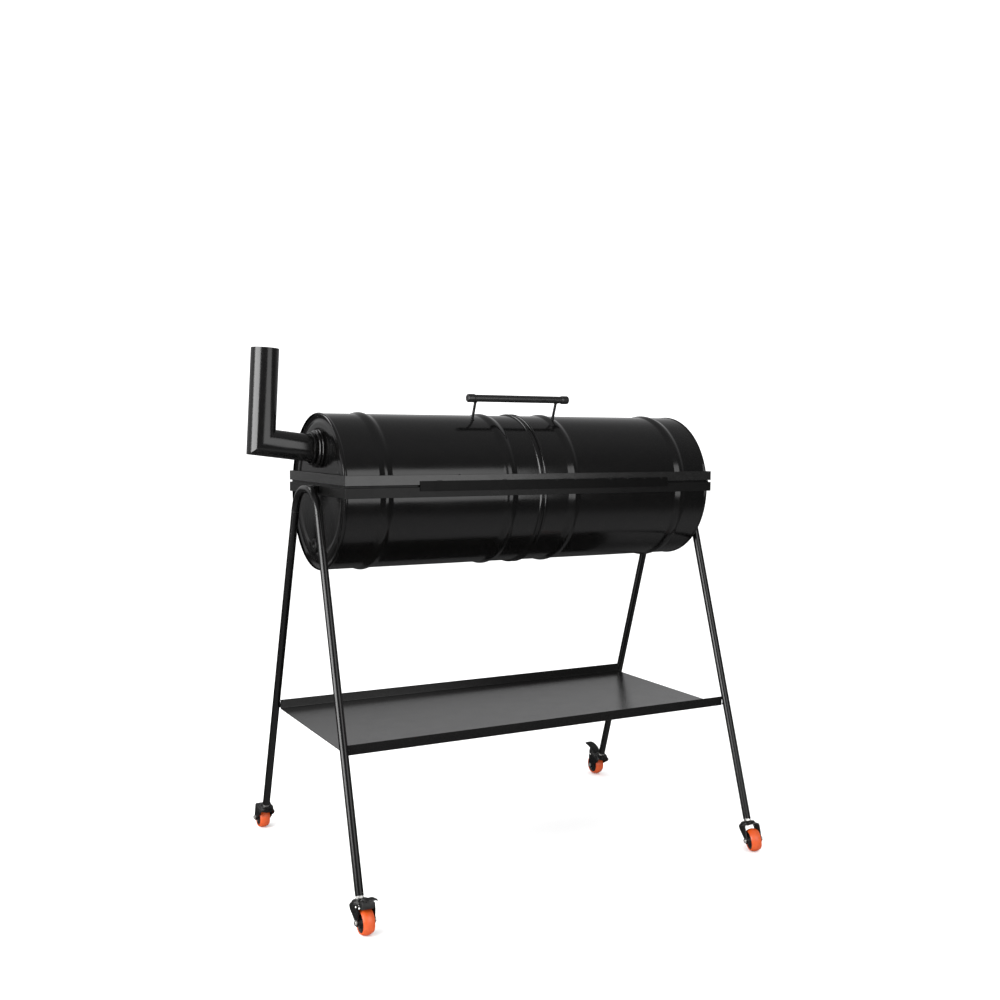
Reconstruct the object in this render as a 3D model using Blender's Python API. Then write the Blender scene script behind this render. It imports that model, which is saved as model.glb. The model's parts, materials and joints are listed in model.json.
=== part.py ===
"""Barrel charcoal smoker with a side chimney, on a splayed tube stand with four castors.

X runs along the barrel, with the chimney at the -X end. The front, with the handle, faces -Y.
The barrel is two steel drums joined end to end and cut lengthwise into a lid and a base.
Everything hangs under one empty, which puts the middle of the object's footprint at the origin.
"""

import math

import bmesh
import bpy
from mathutils import Matrix, Vector

# Clearances
GAP = 0.0003  # between pieces that touch or are welded
RUNNING = 0.0003  # around pins, axles and stems

# Drums
DRUM_RADIUS = 0.1950
DRUM_HALF_LENGTH = 0.5330
SHEET = 0.0015
SHELL_STEPS = 18
SEAM_X = 0.008  # where the two drums meet
SEAM_CHIME_WIDTH = 0.012
SEAM_CHIME_HEIGHT = 0.0045
BEAD_WIDTH = 0.036
BEAD_HEIGHT = 0.0045
INNER_BEAD_FROM_SEAM = 0.0935
OUTER_BEAD_INSET = 0.0990  # from half the barrel's length
CHIME_WIDTH = 0.009
CHIME_HEIGHT = 0.0016
END_RECESS = 0.007
END_PLATE = 0.0015

# Split between lid and base
SPLIT_HEIGHT = 0.987
AXIS_DROP = 0.0195  # the drums' axis is below the split
RIM_GAP = 0.0052
RIM_HEIGHT = 0.0245
RIM_FLANGE = 0.025
RIM_STEEL = 0.0025
RIM_STAND_OUT = 0.0135  # past the drums' sides
SEAL_INSET = 0.0050  # the base rim's upright lip, from its outer face
SEAL_STEEL = 0.0020
SEAL_PLAY = 0.0006  # between the lip and the lid's rim

# Strip that closes the front of the split
STRIP_LENGTH = 0.732
STRIP_X = 0.020
STRIP_HEIGHT = 0.0245
STRIP_STEEL = 0.0025

# Lid handle
HANDLE_ANGLE = math.radians(20.7)  # forward from the top of the lid
HANDLE_STANDOFF = 0.059  # drum wall to the bar's axis
HANDLE_X = -0.010
HANDLE_LENGTH = 0.302
HANDLE_RADIUS = 0.0093
HANDLE_WALL = 0.0015
HANDLE_CAP_LENGTH = 0.0210
HANDLE_CAP_WALL = 0.0013
POST_RADIUS = 0.0036
POST_SIDES = 12
POST_SPACING = 0.241
POST_SHIFT = -0.005  # the posts sit a little to the left of the bar's middle

# Chimney
PIPE_RADIUS = 0.034
PIPE_WALL = 0.0015
PIPE_SIDES = 24
COLLAR_ABOVE_AXIS = 0.1070
COLLAR_FLANGE_DEPTH = 0.0140  # outward from the pipe
COLLAR_RING_DEPTH = 0.0070
COLLAR_GROOVE_DEPTH = 0.0045
COLLAR_REACH = 0.0261  # from the end plate to the collar's mouth
COLLAR_SOCKET_PLAY = 0.0028
PIPE_IN_COLLAR = 0.012
ELBOW_REACH = 0.1410  # from the drum's end to the elbow
ELBOW_TILT = math.radians(6.9)
PIPE_LEAN = math.radians(2.8)
PIPE_RISE = 0.2272  # elbow to the mouth

# Air vent in the left end of the base
VENT_Y = 0.030
VENT_BELOW_AXIS = 0.138
VENT_RADIUS = 0.018
VENT_HOLE_RADIUS = 0.0095
VENT_SPIGOT_RADIUS = 0.0120
VENT_REACH = 0.006
VENT_LIP = 0.003

# Grates and their rails
RAIL_BELOW_AXIS = 0.0090
RAIL_INNER_HALF_WIDTH = 0.165
RAIL_STEEL = 0.003
GRATE_THICKNESS = 0.004
GRATE_SIDE_PLAY = 0.0015  # to the rim's opening
GRATE_END_PLAY = 0.004
GRATE_BARS = 11
GRATE_BAR_WIDTH = 0.005
GRATE_FRAME_WIDTH = 0.007
COAL_GRATE_BELOW_AXIS = 0.118
COAL_GRATE_END_PLAY = 0.028  # to the end plates
COAL_GRATE_BARS = 12

# Rear hinges
HINGE_X = 0.300
HINGE_LENGTH = 0.060
HINGE_LID_KNUCKLE = 0.020
HINGE_LEAF_STEEL = 0.002
HINGE_LEAF_HEIGHT = 0.016
HINGE_PIN_RADIUS = 0.0025
HINGE_KNUCKLE_RADIUS = 0.0055
HINGE_PIN_HEAD = 0.003
HINGE_SIDES = 12

# Stand
TUBE_RADIUS = 0.010
TUBE_WALL = 0.0015
TUBE_SIDES = 12
STAND_STAND_OFF = 0.0242  # from the rims' ends to the tubes' axes
LEG_SPLAY = math.radians(17.79)
LEG_LINE_HALF_WIDTH = 0.0648  # half spread of the legs' lines at the split
ARCH_BELOW_SPLIT = 0.013
ARCH_CORNER_RADIUS = 0.080
ARCH_CORNER_STEPS = 5
ARCH_TAIL = 0.004  # straight end past the bend, where the leg is welded on
SPACER_WIDTH = 0.050
SPACER_HEIGHT = 0.018

# Shelf
SHELF_HEIGHT = 0.366
SHELF_HALF_DEPTH = 0.255
SHELF_LIP = 0.025
SHELF_STEEL = 0.0015

# Castors, in their own frame: Z up the stem, and the wheel trails towards -Y
WHEEL_RADIUS = 0.030
WHEEL_HALF_WIDTH = 0.0138
WHEEL_DROP = 0.055
WHEEL_TRAIL = 0.020
TREAD_DEPTH = 0.007
TREAD_SHOULDER = 0.0045
HUB_BOSS_RADIUS = 0.0085
HUB_DISH = 0.002  # the hub's sides are inside the tread's
AXLE_RADIUS = 0.003
AXLE_HEAD_RADIUS = 0.0055
AXLE_HEAD = 0.004
PIN_SIDES = 10
WHEEL_SIDES = 20
FORK_INNER_HALF = 0.0185
FORK_STEEL = 0.0030
FORK_HEAD_RADIUS = 0.0210
FORK_SIDES = 12
FORK_EAR = 0.0065  # steel left round the pedal's pin
FORK_LOBE = 0.0085  # steel left round the axle
FORK_HEAD_TOP = -0.0062
FORK_HEAD_DEPTH = 0.0100
STEM_RADIUS = 0.0045
STEM_LENGTH = 0.026
NUT_RADIUS = 0.0092
NUT_DEPTH = 0.0050
RIVET_RADIUS = 0.0075
RIVET_DEPTH = 0.0020
PEDAL_PIVOT = (-0.030, -0.0205)  # (Y, Z) in the castor's frame
PEDAL_PIN_RADIUS = 0.0018
PEDAL_STEEL = 0.002
PEDAL_HALF_WIDTH = 0.0150
PEDAL_REACH = 0.078
PEDAL_EAR_STEEL = 0.0016
PEDAL_EAR_INSET = 0.0004  # from the pedal's sides
CASTORS = (
    # name, side in X, side in Y, swivel in degrees, brake
    ("front_left", -1, -1, 0, True),
    ("front_right", 1, -1, -20, False),
    ("back_left", -1, 1, 0, False),
    ("back_right", 1, 1, 0, True),
)

# Derived places
AXIS_HEIGHT = SPLIT_HEIGHT - AXIS_DROP
INNER_RADIUS = DRUM_RADIUS - SHEET
OUTER_BEAD_FROM_SEAM = DRUM_HALF_LENGTH - OUTER_BEAD_INSET
RIM_INNER_X = DRUM_HALF_LENGTH + GAP
RIM_HALF_LENGTH = RIM_INNER_X + RIM_STEEL
RIM_HALF_WIDTH = DRUM_RADIUS + RIM_STAND_OUT
STAND_X = RIM_HALF_LENGTH + STAND_STAND_OFF
CUT_FROM_SPLIT = RIM_GAP / 2 + RIM_STEEL + GAP
PLATE_X = DRUM_HALF_LENGTH - END_RECESS
COLLAR_FLANGE_RADIUS = PIPE_RADIUS + COLLAR_FLANGE_DEPTH
COLLAR_RING_RADIUS = PIPE_RADIUS + COLLAR_RING_DEPTH
COLLAR_GROOVE_RADIUS = PIPE_RADIUS + COLLAR_GROOVE_DEPTH
HINGE_AXIS = Vector((0, RIM_HALF_WIDTH + 2 * GAP + HINGE_KNUCKLE_RADIUS, SPLIT_HEIGHT))
AXLE_BELOW_FOOT = WHEEL_DROP * math.cos(LEG_SPLAY) - WHEEL_TRAIL * math.sin(LEG_SPLAY)
LEG_FOOT_HEIGHT = WHEEL_RADIUS + AXLE_BELOW_FOOT
RAIL_TOP = AXIS_HEIGHT - RAIL_BELOW_AXIS
GRATE_HALF_WIDTH = RIM_HALF_WIDTH - RIM_FLANGE - GRATE_SIDE_PLAY

MATERIALS = {
    "black_gloss_enamel": ((0.012, 0.012, 0.013), 0.22, 0.0),
    "black_satin_paint": ((0.022, 0.022, 0.023), 0.45, 0.0),
    "black_plastic": ((0.018, 0.018, 0.018), 0.50, 0.0),
    "zinc_plate": ((0.62, 0.62, 0.60), 0.35, 1.0),
    "orange_polyurethane": ((0.85, 0.16, 0.03), 0.40, 0.0),
    "plated_wire": ((0.55, 0.55, 0.54), 0.30, 1.0),
    "raw_steel": ((0.20, 0.19, 0.18), 0.50, 1.0),
}


def clear_scene():
    for obj in list(bpy.data.objects):
        bpy.data.objects.remove(obj, do_unlink=True)


def make_materials():
    for name, (colour, roughness, metallic) in MATERIALS.items():
        material = bpy.data.materials.new(name)
        material.use_nodes = True
        shader = material.node_tree.nodes["Principled BSDF"]
        shader.inputs["Base Color"].default_value = (*colour, 1.0)
        shader.inputs["Roughness"].default_value = roughness
        shader.inputs["Metallic"].default_value = metallic


def add_object(name, mesh, material, parent=None):
    """An object whose mesh is in its parent's own frame."""
    obj = bpy.data.objects.new(name, mesh)
    bpy.context.scene.collection.objects.link(obj)
    if material:
        mesh.materials.clear()
        mesh.materials.append(bpy.data.materials[material])
    obj.parent = parent
    return obj


def add_empty(name, matrix, parent=None):
    empty = bpy.data.objects.new(name, None)
    bpy.context.scene.collection.objects.link(empty)
    empty.empty_display_size = 0.03
    empty.parent = parent
    empty.matrix_local = matrix
    return empty


def mesh_from_rings(name, rings, loop=False):
    """A closed solid skinned over rings of points. loop joins the last to the first, else both are capped."""
    bm = bmesh.new()
    rows = [[bm.verts.new(point) for point in ring] for ring in rings]
    count = len(rings[0])
    spans = list(zip(rows, rows[1:]))
    if loop:
        spans.append((rows[-1], rows[0]))
    else:
        bm.faces.new(rows[0])
        bm.faces.new(rows[-1])
    for first, second in spans:
        for i in range(count):
            j = (i + 1) % count
            bm.faces.new((first[i], first[j], second[j], second[i]))
    bmesh.ops.remove_doubles(bm, verts=bm.verts, dist=1e-6)
    bmesh.ops.recalc_face_normals(bm, faces=bm.faces)
    mesh = bpy.data.meshes.new(name)
    bm.to_mesh(mesh)
    bm.free()
    mesh.shade_smooth()
    mesh.set_sharp_from_angle(angle=math.radians(35))
    return mesh


def box_mesh(name, low, high):
    (x0, y0, z0), (x1, y1, z1) = low, high
    ring = [(y0, z0), (y1, z0), (y1, z1), (y0, z1)]
    return mesh_from_rings(name, [[(x, y, z) for y, z in ring] for x in (x0, x1)])


def turned_mesh(name, profile, steps, along="Z", centre=(0, 0, 0)):
    """Turns a closed (radius, distance along the axis) outline about the X or Z axis through centre."""
    cx, cy, cz = centre
    rings = []
    for k in range(steps):
        angle = 2 * math.pi * k / steps
        c, s = math.cos(angle), math.sin(angle)
        if along == "Z":
            rings.append([(cx + r * c, cy + r * s, cz + h) for r, h in profile])
        else:
            rings.append([(cx + h, cy + r * c, cz + r * s) for r, h in profile])
    return mesh_from_rings(name, rings, loop=True)


def tube_mesh(name, path, normal, radius, wall, steps):
    """A hollow tube along a path in one plane, mitred at its corners. normal is that plane's normal."""
    normal = Vector(normal).normalized()
    points = [Vector(point) for point in path]
    frames = []
    for i, point in enumerate(points):
        before = (point - points[i - 1]).normalized() if i else None
        after = (points[i + 1] - point).normalized() if i + 1 < len(points) else None
        ahead = ((before or after) + (after or before)).normalized()
        side = ahead.cross(normal)
        stretch = 1 / ahead.dot(after or before)
        frames.append((point, side * stretch))
    rings = []
    for k in range(steps):
        c, s = math.cos(2 * math.pi * k / steps), math.sin(2 * math.pi * k / steps)
        outer = [p + side * (radius * c) + normal * (radius * s) for p, side in frames]
        inner = [p + side * ((radius - wall) * c) + normal * ((radius - wall) * s) for p, side in frames]
        rings.append(outer + inner[::-1])
    return mesh_from_rings(name, rings, loop=True)


def extruded_mesh(name, outline, low, high):
    """A (Y, Z) outline between two X places."""
    return mesh_from_rings(name, [[(x, y, z) for y, z in outline] for x in (low, high)])


def combined_mesh(name, body, others, operation):
    """body with each mesh in others joined to it or cut from it, as one mesh."""
    target = add_object(name, body, None)
    helpers = []
    for mesh in others:
        helper = add_object(f"{name}_tool", mesh, None)
        modifier = target.modifiers.new("tool", "BOOLEAN")
        modifier.operation = operation
        modifier.object = helper
        helpers.append(helper)
    bpy.context.view_layer.update()
    graph = bpy.context.evaluated_depsgraph_get()
    result = bpy.data.meshes.new_from_object(target.evaluated_get(graph))
    result.name = name
    for helper in [target, *helpers]:
        bpy.data.objects.remove(helper, do_unlink=True)
    result.shade_smooth()
    result.set_sharp_from_angle(angle=math.radians(35))
    return result


def lattice_mesh(name, x_edges, y_edges, is_solid, bottom, top):
    """A flat plate made of the cells of a grid that is_solid(column, row) picks, as one closed solid."""
    bm = bmesh.new()
    verts = {}

    def vert(i, j, z):
        if (i, j, z) not in verts:
            verts[i, j, z] = bm.verts.new((x_edges[i], y_edges[j], z))
        return verts[i, j, z]

    columns, rows = len(x_edges) - 1, len(y_edges) - 1

    def solid(i, j):
        return 0 <= i < columns and 0 <= j < rows and is_solid(i, j)

    for i in range(columns):
        for j in range(rows):
            if not solid(i, j):
                continue
            corners = [(i, j), (i + 1, j), (i + 1, j + 1), (i, j + 1)]
            bm.faces.new([vert(*corner, top) for corner in corners])
            bm.faces.new([vert(*corner, bottom) for corner in reversed(corners)])
            beyond = [(i, j - 1), (i + 1, j), (i, j + 1), (i - 1, j)]
            for k, neighbour in enumerate(beyond):
                if solid(*neighbour):
                    continue
                a, b = corners[k], corners[(k + 1) % 4]
                bm.faces.new((vert(*a, bottom), vert(*b, bottom), vert(*b, top), vert(*a, top)))
    bmesh.ops.recalc_face_normals(bm, faces=bm.faces)
    mesh = bpy.data.meshes.new(name)
    bm.to_mesh(mesh)
    bm.free()
    return mesh


# ---------------------------------------------------------------- barrel


def drum_profile(side):
    """(X, radius) points on the outside of one drum, from its end to the seam. side is -1 left, 1 right."""
    end = side * DRUM_HALF_LENGTH
    points = [
        (end, DRUM_RADIUS - CHIME_HEIGHT / 2),
        (end - side * CHIME_WIDTH * 0.25, DRUM_RADIUS + CHIME_HEIGHT),
        (end - side * CHIME_WIDTH * 0.75, DRUM_RADIUS + CHIME_HEIGHT),
        (end - side * CHIME_WIDTH, DRUM_RADIUS),
    ]
    for distance in (OUTER_BEAD_FROM_SEAM, INNER_BEAD_FROM_SEAM):
        middle = SEAM_X + side * distance
        for share, rise in ((0.5, 0.0), (0.2, 1.0), (-0.2, 1.0), (-0.5, 0.0)):
            points.append((middle + side * share * BEAD_WIDTH, DRUM_RADIUS + rise * BEAD_HEIGHT))
    points += [
        (SEAM_X + side * SEAM_CHIME_WIDTH, DRUM_RADIUS),
        (SEAM_X + side * SEAM_CHIME_WIDTH * 0.55, DRUM_RADIUS + SEAM_CHIME_HEIGHT),
        (SEAM_X + side * GAP / 2, DRUM_RADIUS + SEAM_CHIME_HEIGHT * 0.5),
    ]
    return points


def wall_radius(x):
    """The drum's outside radius at x."""
    points = sorted(drum_profile(-1) + drum_profile(1))
    for (x0, r0), (x1, r1) in zip(points, points[1:]):
        if x0 <= x <= x1:
            return r0 + (r1 - r0) * (x - x0) / max(x1 - x0, 1e-9)
    return DRUM_RADIUS


def half_angle(radius, half):
    """Half the arc of the lid (half=1) or of the base (half=-1), measured from its own crown."""
    cut = AXIS_DROP + half * CUT_FROM_SPLIT
    return math.acos(half * cut / radius)


def inside_half_width(below_axis):
    """Half the clear width inside the base at a height below the axis, past the flats of its faceted wall."""
    flats = math.cos(half_angle(INNER_RADIUS, -1) / SHELL_STEPS)
    return math.sqrt((INNER_RADIUS * flats) ** 2 - below_axis**2) - GAP


def shell_mesh(name, side, half):
    """One drum's half of the lid or of the base, plain inside, cut level where it meets its rim."""
    outer = drum_profile(side)
    inner = [(outer[-1][0], INNER_RADIUS), (outer[0][0], INNER_RADIUS)]
    rings = []
    for k in range(SHELL_STEPS + 1):
        share = 2 * k / SHELL_STEPS - 1
        ring = []
        for x, radius in outer + inner:
            angle = share * half_angle(radius, half)
            ring.append((x, radius * math.sin(angle), AXIS_HEIGHT + half * radius * math.cos(angle)))
        rings.append(ring)
    return mesh_from_rings(name, rings)


def end_plate_mesh(name, side, half, hole=None):
    """The drum's recessed head, cut level. hole is (Y, Z, radius)."""
    radius = INNER_RADIUS - GAP - CHIME_HEIGHT / 2
    reach = half_angle(radius, half)
    outline = []
    for k in range(SHELL_STEPS + 1):
        angle = (2 * k / SHELL_STEPS - 1) * reach
        outline.append((radius * math.sin(angle), AXIS_HEIGHT + half * radius * math.cos(angle)))
    plate = extruded_mesh(name, outline, side * (PLATE_X - END_PLATE), side * PLATE_X)
    if not hole:
        return plate
    y, z, hole_radius = hole
    span = 4 * END_PLATE
    profile = [(0, -span), (hole_radius, -span), (hole_radius, span), (0, span)]
    cutter = turned_mesh("hole", profile, PIPE_SIDES, "X", (side * PLATE_X, y, z))
    return combined_mesh(name, plate, [cutter], "DIFFERENCE")


def rim_mesh(name, half):
    """The angle-steel frame round the cut edge of the lid (half=1) or of the base (half=-1).

    The base's has an upright lip that closes the gap between the two.
    """
    near = SPLIT_HEIGHT + half * RIM_GAP / 2
    far = near + half * RIM_HEIGHT
    flange = near + half * RIM_STEEL
    profile = [(0, near)]
    if half == -1:
        lip = near + RIM_GAP - SEAL_PLAY
        profile += [(SEAL_INSET, near), (SEAL_INSET, lip)]
        profile += [(SEAL_INSET + SEAL_STEEL, lip), (SEAL_INSET + SEAL_STEEL, near)]
    profile += [(RIM_FLANGE, near), (RIM_FLANGE, flange), (RIM_STEEL, flange), (RIM_STEEL, far), (0, far)]
    rings = []
    for sx, sy in ((-1, -1), (1, -1), (1, 1), (-1, 1)):
        rings.append([(sx * (RIM_HALF_LENGTH - i), sy * (RIM_HALF_WIDTH - i), z) for i, z in profile])
    return mesh_from_rings(name, rings, loop=True)


def make_barrel_half(word, half, parent):
    for side, end in ((-1, "left"), (1, "right")):
        name = f"{word}_shell_{end}"
        add_object(name, shell_mesh(name, side, half), "black_gloss_enamel", parent)
        hole = None
        if end == "left" and half == 1:
            hole = (0, AXIS_HEIGHT + COLLAR_ABOVE_AXIS, COLLAR_GROOVE_RADIUS + GAP)
        elif end == "left":
            hole = (VENT_Y, AXIS_HEIGHT - VENT_BELOW_AXIS, VENT_SPIGOT_RADIUS + GAP)
        name = f"{word}_end_plate_{end}"
        add_object(name, end_plate_mesh(name, side, half, hole), "black_gloss_enamel", parent)
    name = f"{word}_rim"
    add_object(name, rim_mesh(name, half), "black_satin_paint", parent)


def make_vent_ring(parent):
    face = -PLATE_X - GAP
    profile = [
        (VENT_HOLE_RADIUS, face - VENT_REACH),
        (VENT_RADIUS - 0.002, face - VENT_REACH),
        (VENT_RADIUS, face - VENT_REACH * 0.6),
        (VENT_RADIUS, face),
        (VENT_SPIGOT_RADIUS, face),
        (VENT_SPIGOT_RADIUS, face + VENT_LIP),
        (VENT_HOLE_RADIUS, face + VENT_LIP),
    ]
    centre = (0, VENT_Y, AXIS_HEIGHT - VENT_BELOW_AXIS)
    mesh = turned_mesh("air_vent_ring", profile, 20, "X", centre)
    add_object("air_vent_ring", mesh, "black_satin_paint", parent)


def make_grates(parent):
    length = PLATE_X - END_PLATE - GAP
    half_width = inside_half_width(RAIL_BELOW_AXIS + RAIL_STEEL)
    for sy, word in ((-1, "front"), (1, "back")):
        edges = sorted((sy * RAIL_INNER_HALF_WIDTH, sy * half_width))
        low = (-length, edges[0], RAIL_TOP - RAIL_STEEL)
        name = f"grate_rail_{word}"
        add_object(name, box_mesh(name, low, (length, edges[1], RAIL_TOP)), "raw_steel", parent)
    grate_far = RIM_HALF_LENGTH - RIM_FLANGE - GRATE_END_PLAY
    grate_near = GRATE_END_PLAY / 2
    bottom = RAIL_TOP + GAP
    for side, word in ((-1, "left"), (1, "right")):
        middle = side * (grate_far + grate_near) / 2
        seat = add_empty(f"cooking_grate_{word}_seat", Matrix.Translation((middle, 0, bottom)), parent)
        mesh = grate_mesh(f"cooking_grate_{word}", grate_far - grate_near, GRATE_HALF_WIDTH, GRATE_BARS)
        add_object(f"cooking_grate_{word}", mesh, "plated_wire", seat)
    half_width = inside_half_width(COAL_GRATE_BELOW_AXIS)
    seat_height = AXIS_HEIGHT - COAL_GRATE_BELOW_AXIS
    seat = add_empty("charcoal_grate_seat", Matrix.Translation((0, 0, seat_height)), parent)
    coal_length = 2 * (PLATE_X - END_PLATE - COAL_GRATE_END_PLAY)
    mesh = grate_mesh("charcoal_grate", coal_length, half_width, COAL_GRATE_BARS)
    add_object("charcoal_grate", mesh, "raw_steel", seat)


def grate_mesh(name, length, half_width, bars):
    """A frame with cross bars, on its own seat at z = 0."""
    half = length / 2
    pitch = (length - 2 * GRATE_FRAME_WIDTH) / (bars + 1)
    x_edges = [-half, -half + GRATE_FRAME_WIDTH]
    for k in range(1, bars + 1):
        middle = -half + GRATE_FRAME_WIDTH + k * pitch
        x_edges += [middle - GRATE_BAR_WIDTH / 2, middle + GRATE_BAR_WIDTH / 2]
    x_edges += [half - GRATE_FRAME_WIDTH, half]
    inner = half_width - GRATE_FRAME_WIDTH
    y_edges = [-half_width, -inner, -GRATE_FRAME_WIDTH / 2, GRATE_FRAME_WIDTH / 2, inner, half_width]
    return lattice_mesh(name, x_edges, y_edges, lambda i, j: i % 2 == 0 or j % 2 == 0, 0, GRATE_THICKNESS)


# ---------------------------------------------------------------- lid fittings


def make_front_strip(parent):
    face = -RIM_HALF_WIDTH - GAP
    low = (STRIP_X - STRIP_LENGTH / 2, face - STRIP_STEEL, SPLIT_HEIGHT - STRIP_HEIGHT / 2)
    high = (STRIP_X + STRIP_LENGTH / 2, face, SPLIT_HEIGHT + STRIP_HEIGHT / 2)
    add_object("front_closing_strip", box_mesh("front_closing_strip", low, high), "black_satin_paint", parent)


def make_handle(parent):
    outward = Vector((0, -math.sin(HANDLE_ANGLE), math.cos(HANDLE_ANGLE)))
    bar_centre = Vector((HANDLE_X, 0, AXIS_HEIGHT)) + outward * (DRUM_RADIUS + HANDLE_STANDOFF)
    cap_end = HANDLE_LENGTH / 2
    bar_half = cap_end - HANDLE_CAP_WALL - GAP
    path = [bar_centre + Vector((x, 0, 0)) for x in (-bar_half, bar_half)]
    bar = tube_mesh("handle_bar", path, (0, 1, 0), HANDLE_RADIUS, HANDLE_WALL, TUBE_SIDES)
    add_object("handle_bar", bar, "black_satin_paint", parent)
    bore = HANDLE_RADIUS + GAP
    outer = bore + HANDLE_CAP_WALL
    for side, word in ((-1, "left"), (1, "right")):
        profile = [
            (0, side * cap_end),
            (outer - 0.002, side * cap_end),
            (outer, side * (cap_end - 0.002)),
            (outer, side * (cap_end - HANDLE_CAP_LENGTH)),
            (bore, side * (cap_end - HANDLE_CAP_LENGTH)),
            (bore, side * (cap_end - HANDLE_CAP_WALL)),
            (0, side * (cap_end - HANDLE_CAP_WALL)),
        ]
        name = f"handle_end_cap_{word}"
        mesh = turned_mesh(name, profile, TUBE_SIDES, "X", tuple(bar_centre))
        add_object(name, mesh, "black_plastic", parent)
        x = HANDLE_X + POST_SHIFT + side * POST_SPACING / 2
        foot = max(wall_radius(x + dx) for dx in (-POST_RADIUS, 0, POST_RADIUS)) + GAP
        top = DRUM_RADIUS + HANDLE_STANDOFF - HANDLE_RADIUS - GAP
        profile = [(0, foot), (POST_RADIUS, foot), (POST_RADIUS, top), (0, top)]
        name = f"handle_post_{word}"
        post = turned_mesh(name, profile, POST_SIDES)
        lean = Matrix.Rotation(HANDLE_ANGLE, 4, "X")
        post.transform(Matrix.Translation((x, 0, AXIS_HEIGHT)) @ lean)
        add_object(name, post, "black_satin_paint", parent)


def make_chimney(parent):
    height = AXIS_HEIGHT + COLLAR_ABOVE_AXIS
    face = -PLATE_X - GAP
    mouth = face - COLLAR_REACH
    socket = PIPE_RADIUS + COLLAR_SOCKET_PLAY
    seat = mouth + PIPE_IN_COLLAR + PIPE_RADIUS * math.sin(ELBOW_TILT) + 0.001
    throat = PIPE_RADIUS - PIPE_WALL
    ring = COLLAR_RING_RADIUS
    flange = COLLAR_FLANGE_RADIUS
    profile = [
        (socket, mouth),
        (ring - 0.0015, mouth),
        (ring, mouth + 0.003),
        (ring, mouth + 0.007),
        (COLLAR_GROOVE_RADIUS, mouth + 0.009),
        (flange - 0.002, mouth + 0.012),
        (flange, mouth + 0.014),
        (flange, face - 0.002),
        (flange - 0.002, face),
        (COLLAR_GROOVE_RADIUS, face),
        (COLLAR_GROOVE_RADIUS, -PLATE_X + END_PLATE + 0.004),
        (throat, -PLATE_X + END_PLATE + 0.004),
        (throat, seat),
        (socket, seat),
    ]
    collar = turned_mesh("chimney_collar", profile, PIPE_SIDES, "X", (0, 0, height))
    add_object("chimney_collar", collar, "black_gloss_enamel", parent)
    along = Vector((-math.cos(ELBOW_TILT), 0, math.sin(ELBOW_TILT)))
    up = Vector((math.sin(PIPE_LEAN), 0, math.cos(PIPE_LEAN)))
    start = Vector((mouth + PIPE_IN_COLLAR, 0, height))
    elbow = start + along * ((DRUM_HALF_LENGTH + ELBOW_REACH + start.x) / math.cos(ELBOW_TILT))
    path = [start, elbow, elbow + up * PIPE_RISE]
    pipe = tube_mesh("chimney_pipe", path, (0, 1, 0), PIPE_RADIUS, PIPE_WALL, PIPE_SIDES)
    add_object("chimney_pipe", pipe, "black_gloss_enamel", parent)


def knuckle_mesh(low, high, bore):
    profile = [(0, low), (HINGE_KNUCKLE_RADIUS, low), (HINGE_KNUCKLE_RADIUS, high), (0, high)]
    if bore:
        radius = HINGE_PIN_RADIUS + RUNNING
        profile = [(0, low - 0.001), (radius, low - 0.001), (radius, high + 0.001), (0, high + 0.001)]
    return turned_mesh("knuckle", profile, HINGE_SIDES, "X", tuple(HINGE_AXIS))


def hinge_leaf_mesh(name, half, spans):
    """A leaf on a rim's back face. spans are the (low, high) X stretches of its knuckles."""
    front = RIM_HALF_WIDTH + GAP
    back = front + HINGE_LEAF_STEEL
    near = SPLIT_HEIGHT + half * (HINGE_KNUCKLE_RADIUS + 0.001)
    far = near + half * HINGE_LEAF_HEIGHT
    tab = SPLIT_HEIGHT + half * 0.0015
    low, high = sorted((near, far))
    plate = box_mesh(name, (-HINGE_LENGTH / 2, front, low), (HINGE_LENGTH / 2, back, high))
    joined = []
    inset = 0.0001  # keeps the tabs' faces off the plate's
    for low, high in spans:
        tab_low, tab_high = sorted((tab, near + half * 0.002))
        joined.append(box_mesh("tab", (low, front + inset, tab_low), (high, back - inset, tab_high)))
        joined.append(knuckle_mesh(low, high, False))
    leaf = combined_mesh(name, plate, joined, "UNION")
    return combined_mesh(name, leaf, [knuckle_mesh(low, high, True) for low, high in spans], "DIFFERENCE")


def make_hinges(base_parent, lid_parent):
    middle = HINGE_LID_KNUCKLE / 2
    outer = HINGE_LENGTH / 2
    base_spans = [(-outer, -middle - GAP), (middle + GAP, outer)]
    for side, word in ((-1, "left"), (1, "right")):
        place = Matrix.Translation((side * HINGE_X, 0, 0))
        for half, name, spans, parent in (
            (-1, f"hinge_leaf_base_{word}", base_spans, base_parent),
            (1, f"hinge_leaf_lid_{word}", [(-middle, middle)], lid_parent),
        ):
            leaf = hinge_leaf_mesh(name, half, spans)
            leaf.transform(place)
            add_object(name, leaf, "black_satin_paint", parent)
        radius, head = HINGE_PIN_RADIUS, HINGE_PIN_RADIUS + 0.0012
        end = outer + GAP
        profile = [
            (0, -end - HINGE_PIN_HEAD),
            (head, -end - HINGE_PIN_HEAD),
            (head, -end),
            (radius, -end),
            (radius, end + HINGE_PIN_HEAD),
            (0, end + HINGE_PIN_HEAD),
        ]
        centre = (side * HINGE_X, HINGE_AXIS.y, HINGE_AXIS.z)
        name = f"hinge_pin_{word}"
        add_object(name, turned_mesh(name, profile, HINGE_SIDES, "X", centre), "zinc_plate", base_parent)


# ---------------------------------------------------------------- stand


def leg_line_y(z):
    """Distance from the middle to a leg's axis at height z."""
    return LEG_LINE_HALF_WIDTH + (SPLIT_HEIGHT - z) * math.tan(LEG_SPLAY)


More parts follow.
